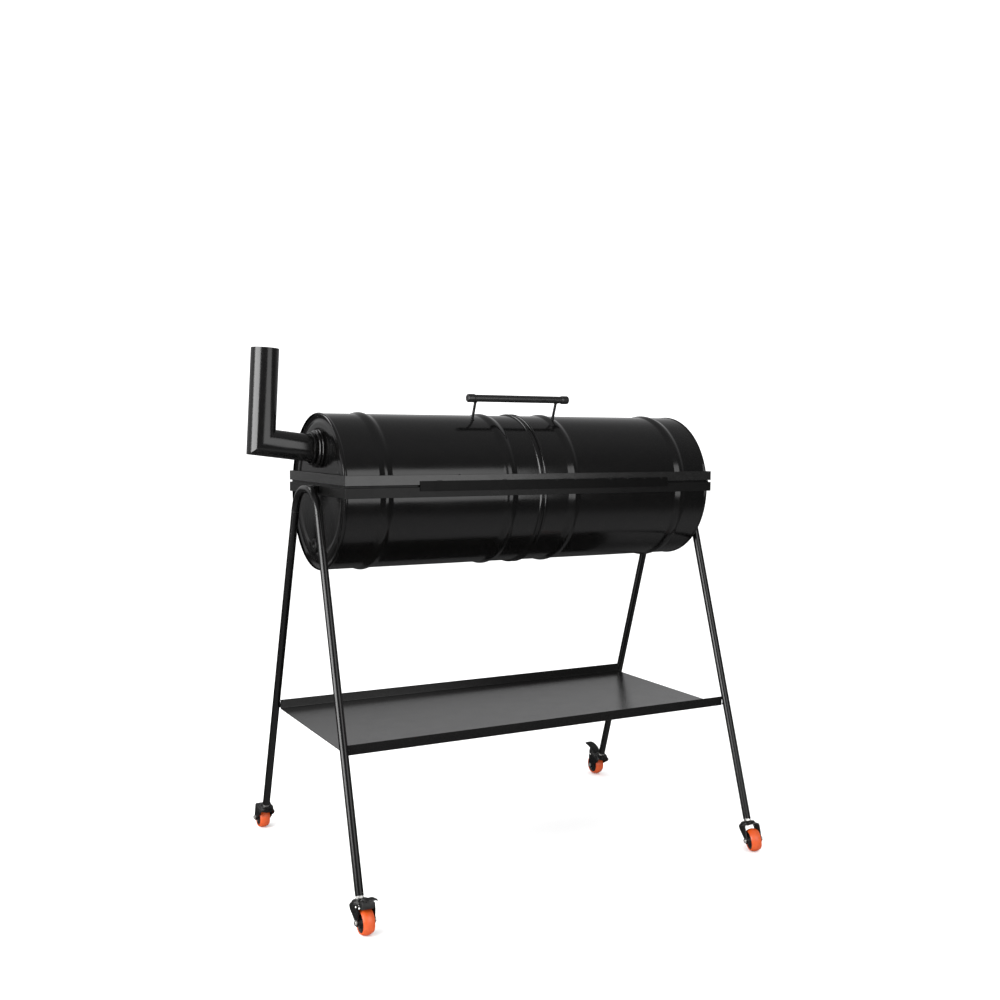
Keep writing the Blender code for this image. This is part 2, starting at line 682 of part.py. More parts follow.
def make_stand(parent):
    arch_height = SPLIT_HEIGHT - ARCH_BELOW_SPLIT
    turn = math.pi / 2 - LEG_SPLAY
    tangent = ARCH_CORNER_RADIUS * math.tan(turn / 2)
    flat_half = leg_line_y(arch_height) - tangent
    bend_y, bend_z = flat_half, arch_height - ARCH_CORNER_RADIUS
    arc = []
    for k in range(ARCH_CORNER_STEPS + 1):
        angle = turn * k / ARCH_CORNER_STEPS
        out, rise = math.sin(angle), math.cos(angle)
        arc.append((bend_y + ARCH_CORNER_RADIUS * out, bend_z + ARCH_CORNER_RADIUS * rise))
    bend_end_y, bend_end_z = arc[-1]
    down_y, down_z = math.sin(LEG_SPLAY), -math.cos(LEG_SPLAY)
    half_path = arc + [(bend_end_y + down_y * ARCH_TAIL, bend_end_z + down_z * ARCH_TAIL)]
    leg_from_bend = ARCH_TAIL + GAP
    leg_top_y, leg_top_z = bend_end_y + down_y * leg_from_bend, bend_end_z + down_z * leg_from_bend
    for sx, end in ((-1, "left"), (1, "right")):
        x = sx * STAND_X
        path = [(x, -y, z) for y, z in reversed(half_path)] + [(x, y, z) for y, z in half_path]
        name = f"stand_arch_{end}"
        tube = tube_mesh(name, path, (1, 0, 0), TUBE_RADIUS, TUBE_WALL, TUBE_SIDES)
        near, far = sorted((sx * (RIM_HALF_LENGTH + GAP), sx * (STAND_X - TUBE_RADIUS + TUBE_WALL / 2)))
        low = (near, -SPACER_WIDTH / 2, arch_height - SPACER_HEIGHT / 2)
        high = (far, SPACER_WIDTH / 2, arch_height + SPACER_HEIGHT / 2)
        mesh = combined_mesh(name, tube, [box_mesh("spacer", low, high)], "UNION")
        add_object(name, mesh, "black_gloss_enamel", parent)
        for sy, word in ((-1, "front"), (1, "back")):
            top = Vector((x, sy * leg_top_y, leg_top_z))
            foot = Vector((x, sy * leg_line_y(LEG_FOOT_HEIGHT), LEG_FOOT_HEIGHT))
            name = f"leg_{word}_{end}"
            leg = tube_mesh(name, [top, foot], (1, 0, 0), TUBE_RADIUS, TUBE_WALL, TUBE_SIDES)
            add_object(name, leg, "black_gloss_enamel", parent)


def make_shelf(parent):
    half = STAND_X - TUBE_RADIUS - GAP
    depth, top = SHELF_HALF_DEPTH, SHELF_HEIGHT + SHELF_LIP
    inner, floor = depth - SHELF_STEEL, SHELF_HEIGHT + SHELF_STEEL
    outline = [
        (-depth, top),
        (-depth, SHELF_HEIGHT),
        (depth, SHELF_HEIGHT),
        (depth, top),
        (inner, top),
        (inner, floor),
        (-inner, floor),
        (-inner, top),
    ]
    tray = extruded_mesh("shelf_tray", outline, -half, half)
    add_object("shelf_tray", tray, "black_satin_paint", parent)


# ---------------------------------------------------------------- castors


def fork_mesh():
    """The swivelling fork: a round head on the stem and two side plates down to the axle."""
    top, bottom = FORK_HEAD_TOP, FORK_HEAD_TOP - FORK_HEAD_DEPTH
    radius = FORK_HEAD_RADIUS
    bore = STEM_RADIUS + RUNNING
    head_profile = [
        (bore, top),
        (radius * 0.55, top),
        (radius * 0.92, top - 0.0030),
        (radius, top - 0.0060),
        (radius, bottom),
        (bore, bottom),
    ]
    head = turned_mesh("fork", head_profile, FORK_SIDES)
    pivot_y, pivot_z = PEDAL_PIVOT
    front, back = radius * 0.72, pivot_y - FORK_EAR
    axle_y, axle_z = -WHEEL_TRAIL, -WHEEL_DROP
    outline = [(front, top - 0.0050), (front, bottom - 0.004)]
    for k in range(6):
        angle = math.radians(10 - 40 * k)
        outline.append((axle_y + FORK_LOBE * math.cos(angle), axle_z + FORK_LOBE * math.sin(angle)))
    outline += [(back, pivot_z - FORK_EAR), (back, pivot_z + FORK_EAR), (-radius * 0.8, top - 0.0050)]
    outer = FORK_INNER_HALF + FORK_STEEL
    plates = [extruded_mesh("plate", outline, *sorted((s * FORK_INNER_HALF, s * outer))) for s in (-1, 1)]
    web_half, web_front = outer - 0.0004, front - 0.0004
    web = box_mesh("web", (-web_half, -radius * 0.8, bottom), (web_half, web_front, bottom + 0.003))
    fork = combined_mesh("fork", head, [web, *plates], "UNION")
    cut = outer + 0.002
    holes = []
    for hole_radius, y, z in (
        (AXLE_RADIUS + RUNNING, axle_y, axle_z),
        (PEDAL_PIN_RADIUS + RUNNING, pivot_y, pivot_z),
    ):
        profile = [(0, -cut), (hole_radius, -cut), (hole_radius, cut), (0, cut)]
        holes.append(turned_mesh("hole", profile, PIN_SIDES, "X", (0, y, z)))
    stem_cut = [(0, top + 0.002), (bore, top + 0.002), (bore, bottom - 0.002), (0, bottom - 0.002)]
    holes.append(turned_mesh("hole", stem_cut, PIN_SIDES))
    return combined_mesh("fork", fork, holes, "DIFFERENCE")


def stem_mesh():
    """The zinc stem: a plug in the leg's bore, a hexagon nut under it, and a rivet head under the fork."""
    fork_bottom = FORK_HEAD_TOP - FORK_HEAD_DEPTH
    plug = (TUBE_RADIUS - TUBE_WALL) * math.cos(math.pi / TUBE_SIDES) - GAP
    profile = [
        (0, STEM_LENGTH),
        (plug, STEM_LENGTH),
        (plug, GAP),
        (STEM_RADIUS, GAP),
        (STEM_RADIUS, fork_bottom - GAP),
        (RIVET_RADIUS, fork_bottom - GAP),
        (RIVET_RADIUS, fork_bottom - GAP - RIVET_DEPTH),
        (0, fork_bottom - GAP - RIVET_DEPTH),
    ]
    stem = turned_mesh("stem", profile, PIN_SIDES)
    nut_profile = [(0, -GAP), (NUT_RADIUS, -GAP), (NUT_RADIUS, -GAP - NUT_DEPTH), (0, -GAP - NUT_DEPTH)]
    return combined_mesh("stem", stem, [turned_mesh("nut", nut_profile, 6)], "UNION")


def axle_mesh():
    """The axle bolt, in the wheel's frame."""
    face = FORK_INNER_HALF + FORK_STEEL + GAP
    end = face + AXLE_HEAD
    profile = [
        (0, -end),
        (AXLE_HEAD_RADIUS, -end),
        (AXLE_HEAD_RADIUS, -face),
        (AXLE_RADIUS, -face),
        (AXLE_RADIUS, face),
        (AXLE_HEAD_RADIUS, face),
        (AXLE_HEAD_RADIUS, end),
        (0, end),
    ]
    return turned_mesh("axle", profile, PIN_SIDES, "X")


def hub_mesh():
    bore, rim = AXLE_RADIUS + RUNNING, (WHEEL_RADIUS - TREAD_DEPTH) * math.cos(math.pi / WHEEL_SIDES) - GAP
    boss, web = FORK_INNER_HALF - 2 * GAP, WHEEL_HALF_WIDTH - HUB_DISH
    half = [(bore, boss), (HUB_BOSS_RADIUS, boss), (HUB_BOSS_RADIUS, web), (rim, web)]
    profile = half + [(r, -h) for r, h in reversed(half)]
    return turned_mesh("hub", profile, WHEEL_SIDES, "X")


def tread_mesh():
    inner, half = WHEEL_RADIUS - TREAD_DEPTH, WHEEL_HALF_WIDTH
    profile = [(inner, -half)]
    for share in (-1.0, -0.7, 0.0, 0.7, 1.0):
        profile.append((WHEEL_RADIUS - TREAD_SHOULDER * abs(share) ** 3.2, share * half))
    profile.append((inner, half))
    return turned_mesh("tread", profile, WHEEL_SIDES, "X")


def pedal_mesh():
    """The brake pedal, about its own pivot: a bent sheet, two ears, a shoe and a pin through the fork."""
    pivot_y, pivot_z = PEDAL_PIVOT
    tip = -PEDAL_REACH - pivot_y
    centre_line = [(0.006, 0.0100), (-0.006, 0.0145), (-0.020, 0.0165), (-0.034, 0.0135), (tip, 0.0020)]
    lower = [(y, z - PEDAL_STEEL) for y, z in reversed(centre_line)]
    sheet = extruded_mesh("sheet", centre_line + lower, -PEDAL_HALF_WIDTH, PEDAL_HALF_WIDTH)
    ear = [(0.005, 0.0100), (0.004, -0.003), (-0.004, -0.0035)]
    ear += [(-0.0145, -0.0090), (-0.0185, 0.0150), (-0.006, 0.0140)]
    ear_outer = PEDAL_HALF_WIDTH - PEDAL_EAR_INSET
    ear_inner = ear_outer - PEDAL_EAR_STEEL
    ears = [extruded_mesh("ear", ear, *sorted((s * ear_outer, s * ear_inner))) for s in (-1, 1)]
    shoe = [(0.0032, -0.0026), (-0.0012, -0.0031), (-0.0140, -0.0084), (-0.0190, -0.0065)]
    shoe += [(-0.0210, 0.0010), (-0.0190, 0.0150), (-0.0060, 0.0134), (0.0032, 0.0100)]
    shoe_half = (ear_outer + ear_inner) / 2
    shoe = extruded_mesh("shoe", shoe, -shoe_half, shoe_half)
    end = FORK_INNER_HALF + FORK_STEEL + 0.0012
    profile = [(0, -end), (PEDAL_PIN_RADIUS, -end), (PEDAL_PIN_RADIUS, end), (0, end)]
    pin = turned_mesh("pin", profile, 12, "X")
    return combined_mesh("pedal", sheet, [*ears, shoe, pin], "UNION")


def make_castors(parent):
    meshes = {
        "fork": (fork_mesh(), "black_gloss_enamel"),
        "axle": (axle_mesh(), "zinc_plate"),
        "hub": (hub_mesh(), "black_plastic"),
        "tread": (tread_mesh(), "orange_polyurethane"),
        "stem": (stem_mesh(), "zinc_plate"),
        "pedal": (pedal_mesh(), "black_gloss_enamel"),
    }
    labels = {
        "fork": "castor_fork",
        "axle": "axle_bolt",
        "hub": "wheel_hub",
        "tread": "wheel_tread",
        "stem": "castor_stem",
        "pedal": "brake_pedal",
    }
    for name, sx, sy, swivel, braked in CASTORS:
        foot = Vector((sx * STAND_X, sy * leg_line_y(LEG_FOOT_HEIGHT), LEG_FOOT_HEIGHT))
        turn = Matrix.Rotation(0 if sy < 0 else math.pi, 4, "Z")
        frame = Matrix.Translation(foot) @ turn @ Matrix.Rotation(-LEG_SPLAY, 4, "X")
        socket = add_empty(f"castor_socket_{name}", frame, parent)
        swivel_turn = Matrix.Rotation(math.radians(swivel), 4, "Z")
        swivel_axis = add_empty(f"castor_swivel_{name}", swivel_turn, socket)
        axle = Matrix.Translation((0, -WHEEL_TRAIL, -WHEEL_DROP)) @ Matrix.Rotation(LEG_SPLAY, 4, "X")
        wheel_axis = add_empty(f"wheel_axis_{name}", axle, swivel_axis)
        frames = {"stem": socket, "fork": swivel_axis}
        frames.update({"axle": wheel_axis, "hub": wheel_axis, "tread": wheel_axis})
        if braked:
            place = Matrix.Translation((0, *PEDAL_PIVOT))
            frames["pedal"] = add_empty(f"brake_pivot_{name}", place, swivel_axis)
        for piece, frame_empty in frames.items():
            mesh, material = meshes[piece]
            add_object(f"{labels[piece]}_{name}", mesh, material, frame_empty)


# ---------------------------------------------------------------- whole object


def centre_on_floor(root):
    """Moves everything so that the origin is at the bottom centre of the whole object's box."""
    bpy.context.view_layer.update()
    corners = []
    for obj in bpy.data.objects:
        if obj.type == "MESH":
            corners += [obj.matrix_world @ vertex.co for vertex in obj.data.vertices]
    low = [min(corner[i] for corner in corners) for i in range(3)]
    high = [max(corner[i] for corner in corners) for i in range(3)]
    root.location = (-(low[0] + high[0]) / 2, -(low[1] + high[1]) / 2, -low[2])
    bpy.context.view_layer.update()


def main():
    clear_scene()
    make_materials()
    root = add_empty("smoker", Matrix.Identity(4))
    lid_axis = add_empty("lid_hinge_axis", Matrix.Translation(HINGE_AXIS), root)
    lid = add_empty("lid_frame", Matrix.Translation(-HINGE_AXIS), lid_axis)
    make_barrel_half("base", -1, root)
    make_barrel_half("lid", 1, lid)
    make_vent_ring(root)
    make_grates(root)
    make_front_strip(lid)
    make_handle(lid)
    make_chimney(lid)
    make_hinges(root, lid)
    make_stand(root)
    make_shelf(root)
    make_castors(root)
    centre_on_floor(root)


main()
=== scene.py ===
"""Looks of the barrel charcoal smoker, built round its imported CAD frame.

X runs along the barrel, with the chimney at the -X end. The front, with the handle, faces -Y.
Every piece here replaces a CAD node with a finer one, in the same place, and rides on its body.
"""

import json
import math

import bmesh
import bpy
from mathutils import Matrix, Vector, noise


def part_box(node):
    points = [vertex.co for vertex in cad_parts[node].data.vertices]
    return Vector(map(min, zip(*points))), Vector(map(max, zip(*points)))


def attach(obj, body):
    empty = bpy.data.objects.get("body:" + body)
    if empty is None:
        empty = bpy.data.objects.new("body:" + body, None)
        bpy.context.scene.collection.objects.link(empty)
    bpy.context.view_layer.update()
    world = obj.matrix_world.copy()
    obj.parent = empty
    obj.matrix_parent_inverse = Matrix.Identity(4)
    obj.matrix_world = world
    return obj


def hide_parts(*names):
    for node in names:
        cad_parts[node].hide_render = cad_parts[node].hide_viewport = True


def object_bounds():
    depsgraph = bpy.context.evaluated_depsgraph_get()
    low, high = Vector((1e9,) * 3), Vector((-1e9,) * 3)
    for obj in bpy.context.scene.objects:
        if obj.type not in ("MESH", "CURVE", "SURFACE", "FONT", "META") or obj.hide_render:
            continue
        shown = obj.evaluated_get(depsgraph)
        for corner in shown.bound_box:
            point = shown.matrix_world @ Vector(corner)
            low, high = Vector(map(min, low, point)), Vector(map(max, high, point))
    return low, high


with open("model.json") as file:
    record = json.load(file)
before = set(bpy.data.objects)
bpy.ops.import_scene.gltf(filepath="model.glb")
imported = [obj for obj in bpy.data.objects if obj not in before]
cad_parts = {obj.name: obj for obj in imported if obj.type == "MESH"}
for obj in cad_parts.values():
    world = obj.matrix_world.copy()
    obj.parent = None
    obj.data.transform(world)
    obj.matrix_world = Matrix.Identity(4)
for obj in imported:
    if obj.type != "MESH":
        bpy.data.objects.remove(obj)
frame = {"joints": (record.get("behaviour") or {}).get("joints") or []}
CAD_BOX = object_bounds()
JOINTS = {joint["name"]: joint for joint in frame["joints"]}

# Places read from the frame
SHELF_LOW, SHELF_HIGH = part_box("shelf_tray")
LID_RIM_LOW, LID_RIM_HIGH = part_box("lid_rim")
BASE_RIM_LOW, BASE_RIM_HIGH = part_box("base_rim")
MIDDLE = (SHELF_LOW.x + SHELF_HIGH.x) / 2
RIM_GAP = 0.0026  # half the gap between the two rims
SPLIT = LID_RIM_LOW.z - RIM_GAP
AXIS = SPLIT - 0.0195
FLOOR = CAD_BOX[0].z

# Drums
GAP = 0.0003
RADIUS = 0.1950
SHEET = 0.0014
HALF_LENGTH = 0.5330
SEAM = 0.008
BEADS = ((SEAM, 0.0935), (SEAM, 0.4340))
BEAD_WIDTH, BEAD_HEIGHT = 0.036, 0.0045
SEAM_LIP, SEAM_LIP_WIDTH = 0.0068, 0.0085  # the raised lip on each side of the seam
CHIME, CHIME_WIDTH, CHIME_HEIGHT = 0.0042, 0.0080, 0.0017  # the rolled edge at a drum's end
DENT_DEPTH = 0.00022
PLATE_RING = (0.150, 0.172)
PLATE_RING_DEPTH = 0.0022
PLATE_EDGE, PLATE_EDGE_DEPTH = 0.182, 0.0030
PLATE_WAVE = 0.0003
COLLAR_HOLE, VENT_HOLE = 0.0388, 0.0123
RIM_STEEL, RIM_FLANGE = 0.0025, 0.025
RIM_CUT = RIM_GAP + RIM_STEEL + GAP
SEAL_INSET, SEAL_STEEL = 0.0050, 0.0020
PLATE_X = HALF_LENGTH - 0.007

# Handle and chimney
HANDLE_WALL, POST_RADIUS = 0.0015, 0.0036
PIPE_RADIUS, PIPE_WALL = 0.034, 0.0015
PIPE_LEAN, ELBOW_TILT = math.radians(2.8), math.radians(6.9)
ELBOW_REACH, PIPE_RISE, PIPE_IN_COLLAR = 0.1410, 0.2272, 0.012
COLLAR_FLANGE, COLLAR_RING, COLLAR_GROOVE, COLLAR_SOCKET = 0.048, 0.0410, 0.0385, 0.0368
COLLAR_SEAT = 0.0175

# Stand
TUBE, TUBE_WALL = 0.010, 0.0015
LEG_SPLAY = math.radians(17.79)
LEG_SPREAD = 0.0648  # half the distance between two legs' lines, at the split
ARCH_BEND, ARCH_TAIL = 0.080, 0.004
SHELF_STEEL, SHELF_BEND, SHELF_BOW = 0.0015, 0.0030, 0.0006


# ---------------------------------------------------------------- materials


class Shader:
    """A Principled material, with helpers that add procedural detail to it."""

    def __init__(self, name, colour, roughness, metallic=0.0, **sockets):
        self.material = bpy.data.materials.new(name)
        self.material.use_nodes = True
        self.tree = self.material.node_tree
        self.bsdf = self.tree.nodes["Principled BSDF"]
        self.bsdf.inputs["Base Color"].default_value = (*colour, 1)
        self.bsdf.inputs["Roughness"].default_value = roughness
        self.bsdf.inputs["Metallic"].default_value = metallic
        for socket, value in sockets.items():
            self.bsdf.inputs[socket.replace("_", " ")].default_value = value
        self.place = self.tree.nodes.new("ShaderNodeTexCoord").outputs["Object"]
        self.normal = None

    def link(self, a, b):
        self.tree.links.new(a, b)

    def noise(self, scale, detail=4.0, stretch=(1, 1, 1), roughness=0.5):
        mapping = self.tree.nodes.new("ShaderNodeMapping")
        mapping.inputs["Scale"].default_value = stretch
        self.link(self.place, mapping.inputs["Vector"])
        texture = self.tree.nodes.new("ShaderNodeTexNoise")
        texture.inputs["Scale"].default_value = scale
        texture.inputs["Detail"].default_value = detail
        texture.inputs["Roughness"].default_value = roughness
        self.link(mapping.outputs["Vector"], texture.inputs["Vector"])
        return texture.outputs["Fac"]

    def ramp(self, value, stops, interpolation="LINEAR"):
        node = self.tree.nodes.new("ShaderNodeValToRGB")
        node.color_ramp.interpolation = interpolation
        ramp = node.color_ramp.elements
        while len(ramp) < len(stops):
            ramp.new(0.5)
        for element, (place, colour) in zip(ramp, stops):
            element.position = place
            shade = colour if isinstance(colour, tuple) else (colour,) * 3
            element.color = (*shade, 1)
        self.link(value, node.inputs["Fac"])
        return node.outputs["Color"]

    def colour(self, value, stops):
        self.link(self.ramp(value, stops), self.bsdf.inputs["Base Color"])

    def roughness(self, value, stops):
        self.link(self.ramp(value, stops), self.bsdf.inputs["Roughness"])

    def bump(self, value, strength, distance):
        node = self.tree.nodes.new("ShaderNodeBump")
        node.inputs["Strength"].default_value = strength
        node.inputs["Distance"].default_value = distance
        self.link(value, node.inputs["Height"])
        if self.normal is not None:
            self.link(self.normal, node.inputs["Normal"])
        self.normal = node.outputs["Normal"]
        self.link(self.normal, self.bsdf.inputs["Normal"])


def enamel(name, base, low, high, peel, specular=0.42):
    """Black high-temperature enamel: uneven gloss, orange peel and a little dust."""
    shader = Shader(name, (base,) * 3, low, Specular_IOR_Level=specular)
    dust = shader.noise(38, 6, roughness=0.7)
    shader.colour(dust, [(0.35, (base, base, base * 1.05)), (0.8, (base * 1.6, base * 1.5, base * 1.4))])
    shader.roughness(shader.noise(9, 5, roughness=0.65), [(0.3, low), (0.72, high)])
    shader.bump(shader.noise(11, 2), 0.07, 0.004)
    shader.bump(shader.noise(420, 3), peel, 0.0006)
    return shader.material


def satin(name, base, low, high, grain, specular=0.40):
    """Satin black paint over mill-rolled steel, with a fine dry grain."""
    shader = Shader(name, (base,) * 3, low, Specular_IOR_Level=specular)
    speck = shader.noise(1400, 4, roughness=0.8)
    shader.colour(speck, [(0.35, (base,) * 3), (0.75, (base * 2.4, base * 2.35, base * 2.3))])
    shader.roughness(shader.noise(26, 5, roughness=0.7), [(0.3, low), (0.7, high)])
    shader.bump(shader.noise(900, 4, roughness=0.7), grain, 0.0008)
    return shader.material


def zinc():
    shader = Shader("zinc", (0.62, 0.62, 0.60), 0.30, 1.0)
    shader.colour(shader.noise(160, 4), [(0.3, (0.50, 0.50, 0.49)), (0.75, (0.74, 0.73, 0.70))])
    shader.roughness(shader.noise(420, 4), [(0.3, 0.24), (0.7, 0.46)])
    shader.bump(shader.noise(1200, 3), 0.12, 0.0004)
    return shader.material


def plastic(name, base, roughness):
    shader = Shader(name, (base,) * 3, roughness, Specular_IOR_Level=0.45)
    shader.colour(shader.noise(90, 5), [(0.3, (base * 0.8,) * 3), (0.8, (base * 1.7,) * 3)])
    shader.roughness(shader.noise(300, 4), [(0.3, roughness - 0.06), (0.7, roughness + 0.10)])
    shader.bump(shader.noise(1800, 3), 0.16, 0.0005)
    return shader.material


def polyurethane():
    orange = (0.43, 0.057, 0.006)
    shader = Shader("polyurethane", orange, 0.36, Subsurface_Weight=0.12, Subsurface_Scale=0.004)
    shader.colour(
        shader.noise(70, 5, roughness=0.6),
        [(0.30, (0.38, 0.048, 0.005)), (0.55, orange), (0.85, (0.48, 0.074, 0.010))],
    )
    shader.roughness(shader.noise(220, 4), [(0.3, 0.30), (0.7, 0.48)])
    shader.bump(shader.noise(260, 4, stretch=(4, 1, 1)), 0.10, 0.0006)
    return shader.material


def plated_wire():
    shader = Shader("plated_wire", (0.55, 0.55, 0.54), 0.28, 1.0)
    shader.colour(shader.noise(24, 5), [(0.3, (0.42, 0.41, 0.39)), (0.75, (0.66, 0.65, 0.63))])
    shader.roughness(shader.noise(300, 4), [(0.3, 0.20), (0.7, 0.42)])
    shader.bump(shader.noise(800, 3), 0.15, 0.0004)
    return shader.material


def rolled_steel():
    shader = Shader("rolled_steel", (0.20, 0.19, 0.18), 0.48, 1.0)
    shader.colour(
        shader.noise(18, 6, roughness=0.7),
        [(0.30, (0.10, 0.095, 0.09)), (0.62, (0.24, 0.23, 0.215)), (0.82, (0.30, 0.25, 0.20))],
    )
    shader.roughness(shader.noise(120, 5), [(0.3, 0.38), (0.7, 0.62)])
    shader.bump(shader.noise(500, 4), 0.25, 0.0006)
    return shader.material


MATERIALS = {
    "drum": enamel("drum_enamel", 0.0014, 0.13, 0.19, 0.04),
    "plate": enamel("plate_enamel", 0.0014, 0.13, 0.20, 0.08),
    "tube": enamel("tube_enamel", 0.0015, 0.20, 0.28, 0.05, 0.36),
    "chimney": enamel("chimney_enamel", 0.0026, 0.15, 0.22, 0.05),
    "weld": enamel("weld_enamel", 0.0030, 0.26, 0.40, 0.35),
    # lid_rim and base_rim are lit and shaded copies of one satin paint: base_rim's darker colour and low
    # gloss are painted shade under the lid, also on the seal lip and the vent bush
    "lid_rim": satin("lid_rim_paint", 0.0035, 0.18, 0.26, 0.14, 0.50),
    "base_rim": satin("base_rim_shaded_paint", 0.0020, 0.26, 0.36, 0.20, 0.14),
    "strip": satin("strip_paint", 0.0014, 0.26, 0.36, 0.20, 0.06),
    "shelf": satin("shelf_paint", 0.0025, 0.22, 0.25, 0.10),
    "fork": enamel("fork_enamel", 0.0030, 0.22, 0.36, 0.25, 0.34),
    "zinc": zinc(),
    "grip": plastic("grip_plastic", 0.005, 0.28),
    "hub": plastic("hub_plastic", 0.009, 0.40),
    "tread": polyurethane(),
    "wire": plated_wire(),
    "steel": rolled_steel(),
}


# ---------------------------------------------------------------- mesh tools


def rings_mesh(name, rings, loop=False):
    """A closed solid skinned over rings. loop joins the last ring to the first, else both are capped."""
    count = len(rings[0])
    points = [point for ring in rings for point in ring]
    faces = []
    spans = [(k, k + 1) for k in range(len(rings) - 1)]
    if loop:
        spans.append((len(rings) - 1, 0))
    else:
        faces.append(list(range(count)))
        faces.append(list(range((len(rings) - 1) * count, len(rings) * count)))
    for a, b in spans:
        for i in range(count):
            j = (i + 1) % count
            faces.append((a * count + i, a * count + j, b * count + j, b * count + i))
    return clean_mesh(name, points, faces)


def clean_mesh(name, points, faces, angle=38):
    mesh = bpy.data.meshes.new(name)
    mesh.from_pydata([tuple(point) for point in points], [], faces)
    bm = bmesh.new()
    bm.from_mesh(mesh)
    bmesh.ops.remove_doubles(bm, verts=bm.verts, dist=2e-6)
    bmesh.ops.dissolve_degenerate(bm, edges=bm.edges, dist=1e-7)
    bmesh.ops.recalc_face_normals(bm, faces=bm.faces)
    bm.to_mesh(mesh)
    bm.free()
    smooth(mesh, angle)
    return mesh


def smooth(mesh, angle=38):
    mesh.shade_smooth()
    mesh.set_sharp_from_angle(angle=math.radians(angle))


def turned(name, profile, steps=64, place=None):
    """Turns a closed (radius, height) outline about Z, then puts it at place."""
    rings = []
    for k in range(steps):
        c, s = math.cos(2 * math.pi * k / steps), math.sin(2 * math.pi * k / steps)
        rings.append([(r * c, r * s, h) for r, h in profile])
    mesh = rings_mesh(name, rings, loop=True)
    if place:
        mesh.transform(place)
    return mesh


def along_x(x=0, y=0, z=0):
    """Puts a turned shape's axis along +X through a point."""
    return Matrix.Translation((x, y, z)) @ Matrix.Rotation(math.pi / 2, 4, "Y")


def rod(name, start, end, radius, steps=24, tip=0.0):
    """A solid rod with slightly rounded ends."""
    start, end = Vector(start), Vector(end)
    length = (end - start).length
    if tip:
        turns = (0, 0.52, 1.05, 1.57)
        round_off = [(radius - tip + tip * math.sin(a), tip * (1 - math.cos(a))) for a in turns]
        profile = [(0, 0)] + round_off + [(r, length - h) for r, h in reversed(round_off)] + [(0, length)]
    else:
        profile = [(0, 0), (radius, 0), (radius, length), (0, length)]
    turn = (end - start).to_track_quat("Z", "Y").to_matrix().to_4x4()
    return turned(name, profile, steps, Matrix.Translation(start) @ turn)


def tube(name, path, normal, radius, wall, steps=48):
    """A hollow tube along a flat path, mitred at its corners."""
    normal = Vector(normal).normalized()
    points = [Vector(point) for point in path]
    frames = []
    for i, point in enumerate(points):
        before = (point - points[i - 1]).normalized() if i else None
        after = (points[i + 1] - point).normalized() if i + 1 < len(points) else None
        ahead = ((before or after) + (after or before)).normalized()
        frames.append((point, ahead.cross(normal) / ahead.dot(after or before)))
    rings = []
    for k in range(steps):
        c, s = math.cos(2 * math.pi * k / steps), math.sin(2 * math.pi * k / steps)
        outer = [p + side * (radius * c) + normal * (radius * s) for p, side in frames]
        inner = [p + side * ((radius - wall) * c) + normal * ((radius - wall) * s) for p, side in frames]
        rings.append(outer + inner[::-1])
    return rings_mesh(name, rings, loop=True)


def extruded(name, outline, low, high):
    """A (Y, Z) outline between two X places."""
    return rings_mesh(name, [[(x, y, z) for y, z in outline] for x in (low, high)])


def block(name, low, high):
    (x0, y0, z0), (x1, y1, z1) = low, high
    return extruded(name, [(y0, z0), (y1, z0), (y1, z1), (y0, z1)], x0, x1)


def arc(cy, cz, radius, start, end, steps):
    """(Y, Z) points on an arc, with its angles in degrees from +Y towards +Z."""
    turns = [math.radians(start + (end - start) * k / steps) for k in range(steps + 1)]
    return [(cy + radius * math.cos(a), cz + radius * math.sin(a)) for a in turns]


def combine(name, body, others, operation, angle=38):
    """body with other meshes joined to it or cut from it."""
    target = bpy.data.objects.new(name, body)
    bpy.context.scene.collection.objects.link(target)
    helpers = [target]
    for mesh in others:
        helper = bpy.data.objects.new("tool", mesh)
        bpy.context.scene.collection.objects.link(helper)
        modifier = target.modifiers.new("tool", "BOOLEAN")
        modifier.operation = operation
        modifier.object = helper
        helpers.append(helper)
    bpy.context.view_layer.update()
    graph = bpy.context.evaluated_depsgraph_get()
    result = bpy.data.meshes.new_from_object(target.evaluated_get(graph))
    for helper in helpers:
        bpy.data.objects.remove(helper, do_unlink=True)
    smooth(result, angle)
    return result


def merged(name, meshes, angle=38):
    """Several loose shapes as one mesh."""
    bm = bmesh.new()
    for mesh in meshes:
        bm.from_mesh(mesh)
    result = bpy.data.meshes.new(name)
    bm.to_mesh(result)
    bm.free()
    smooth(result, angle)
    return result


def piece(name, mesh, material, body, nodes=(), bevel=0.0, segments=2):
    """Adds a finished piece to the object. nodes are the CAD nodes it stands for."""
    obj = bpy.data.objects.new(name, mesh)
    bpy.context.scene.collection.objects.link(obj)
    mesh.materials.clear()
    mesh.materials.append(MATERIALS[material])
    if bevel:
        modifier = obj.modifiers.new("edges", "BEVEL")
        modifier.width = bevel
        modifier.segments = segments
        modifier.limit_method = "ANGLE"
        modifier.angle_limit = math.radians(40)
        modifier.harden_normals = True
    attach(obj, body)
    if nodes:
        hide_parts(*([nodes] if isinstance(nodes, str) else nodes))
    return obj


def weld_bead(name, points, radius, body):
    """A rippled fillet of weld along points."""
    points = [Vector(point) for point in points]
    rings = []
    for i, point in enumerate(points):
        ahead = (points[min(i + 1, len(points) - 1)] - points[max(i - 1, 0)]).normalized()
        side = ahead.orthogonal().normalized()
        up = ahead.cross(side)
        swell = radius * (1.0 + 0.16 * math.sin(i * 2.1) + 0.10 * noise.noise(point * 900))
        if i in (0, len(points) - 1):
            swell *= 0.35
        turns = [2 * math.pi * k / 10 for k in range(10)]
        rings.append([point + side * swell * math.cos(a) + up * swell * math.sin(a) for a in turns])
    return piece(name, rings_mesh(name, rings), "weld", body)


# ---------------------------------------------------------------- barrel


def bump_at(x, centre, width, height, power=2.0):
    share = abs(x - centre) / (width / 2)
    return height * math.cos(share * math.pi / 2) ** power if share < 1 else 0.0


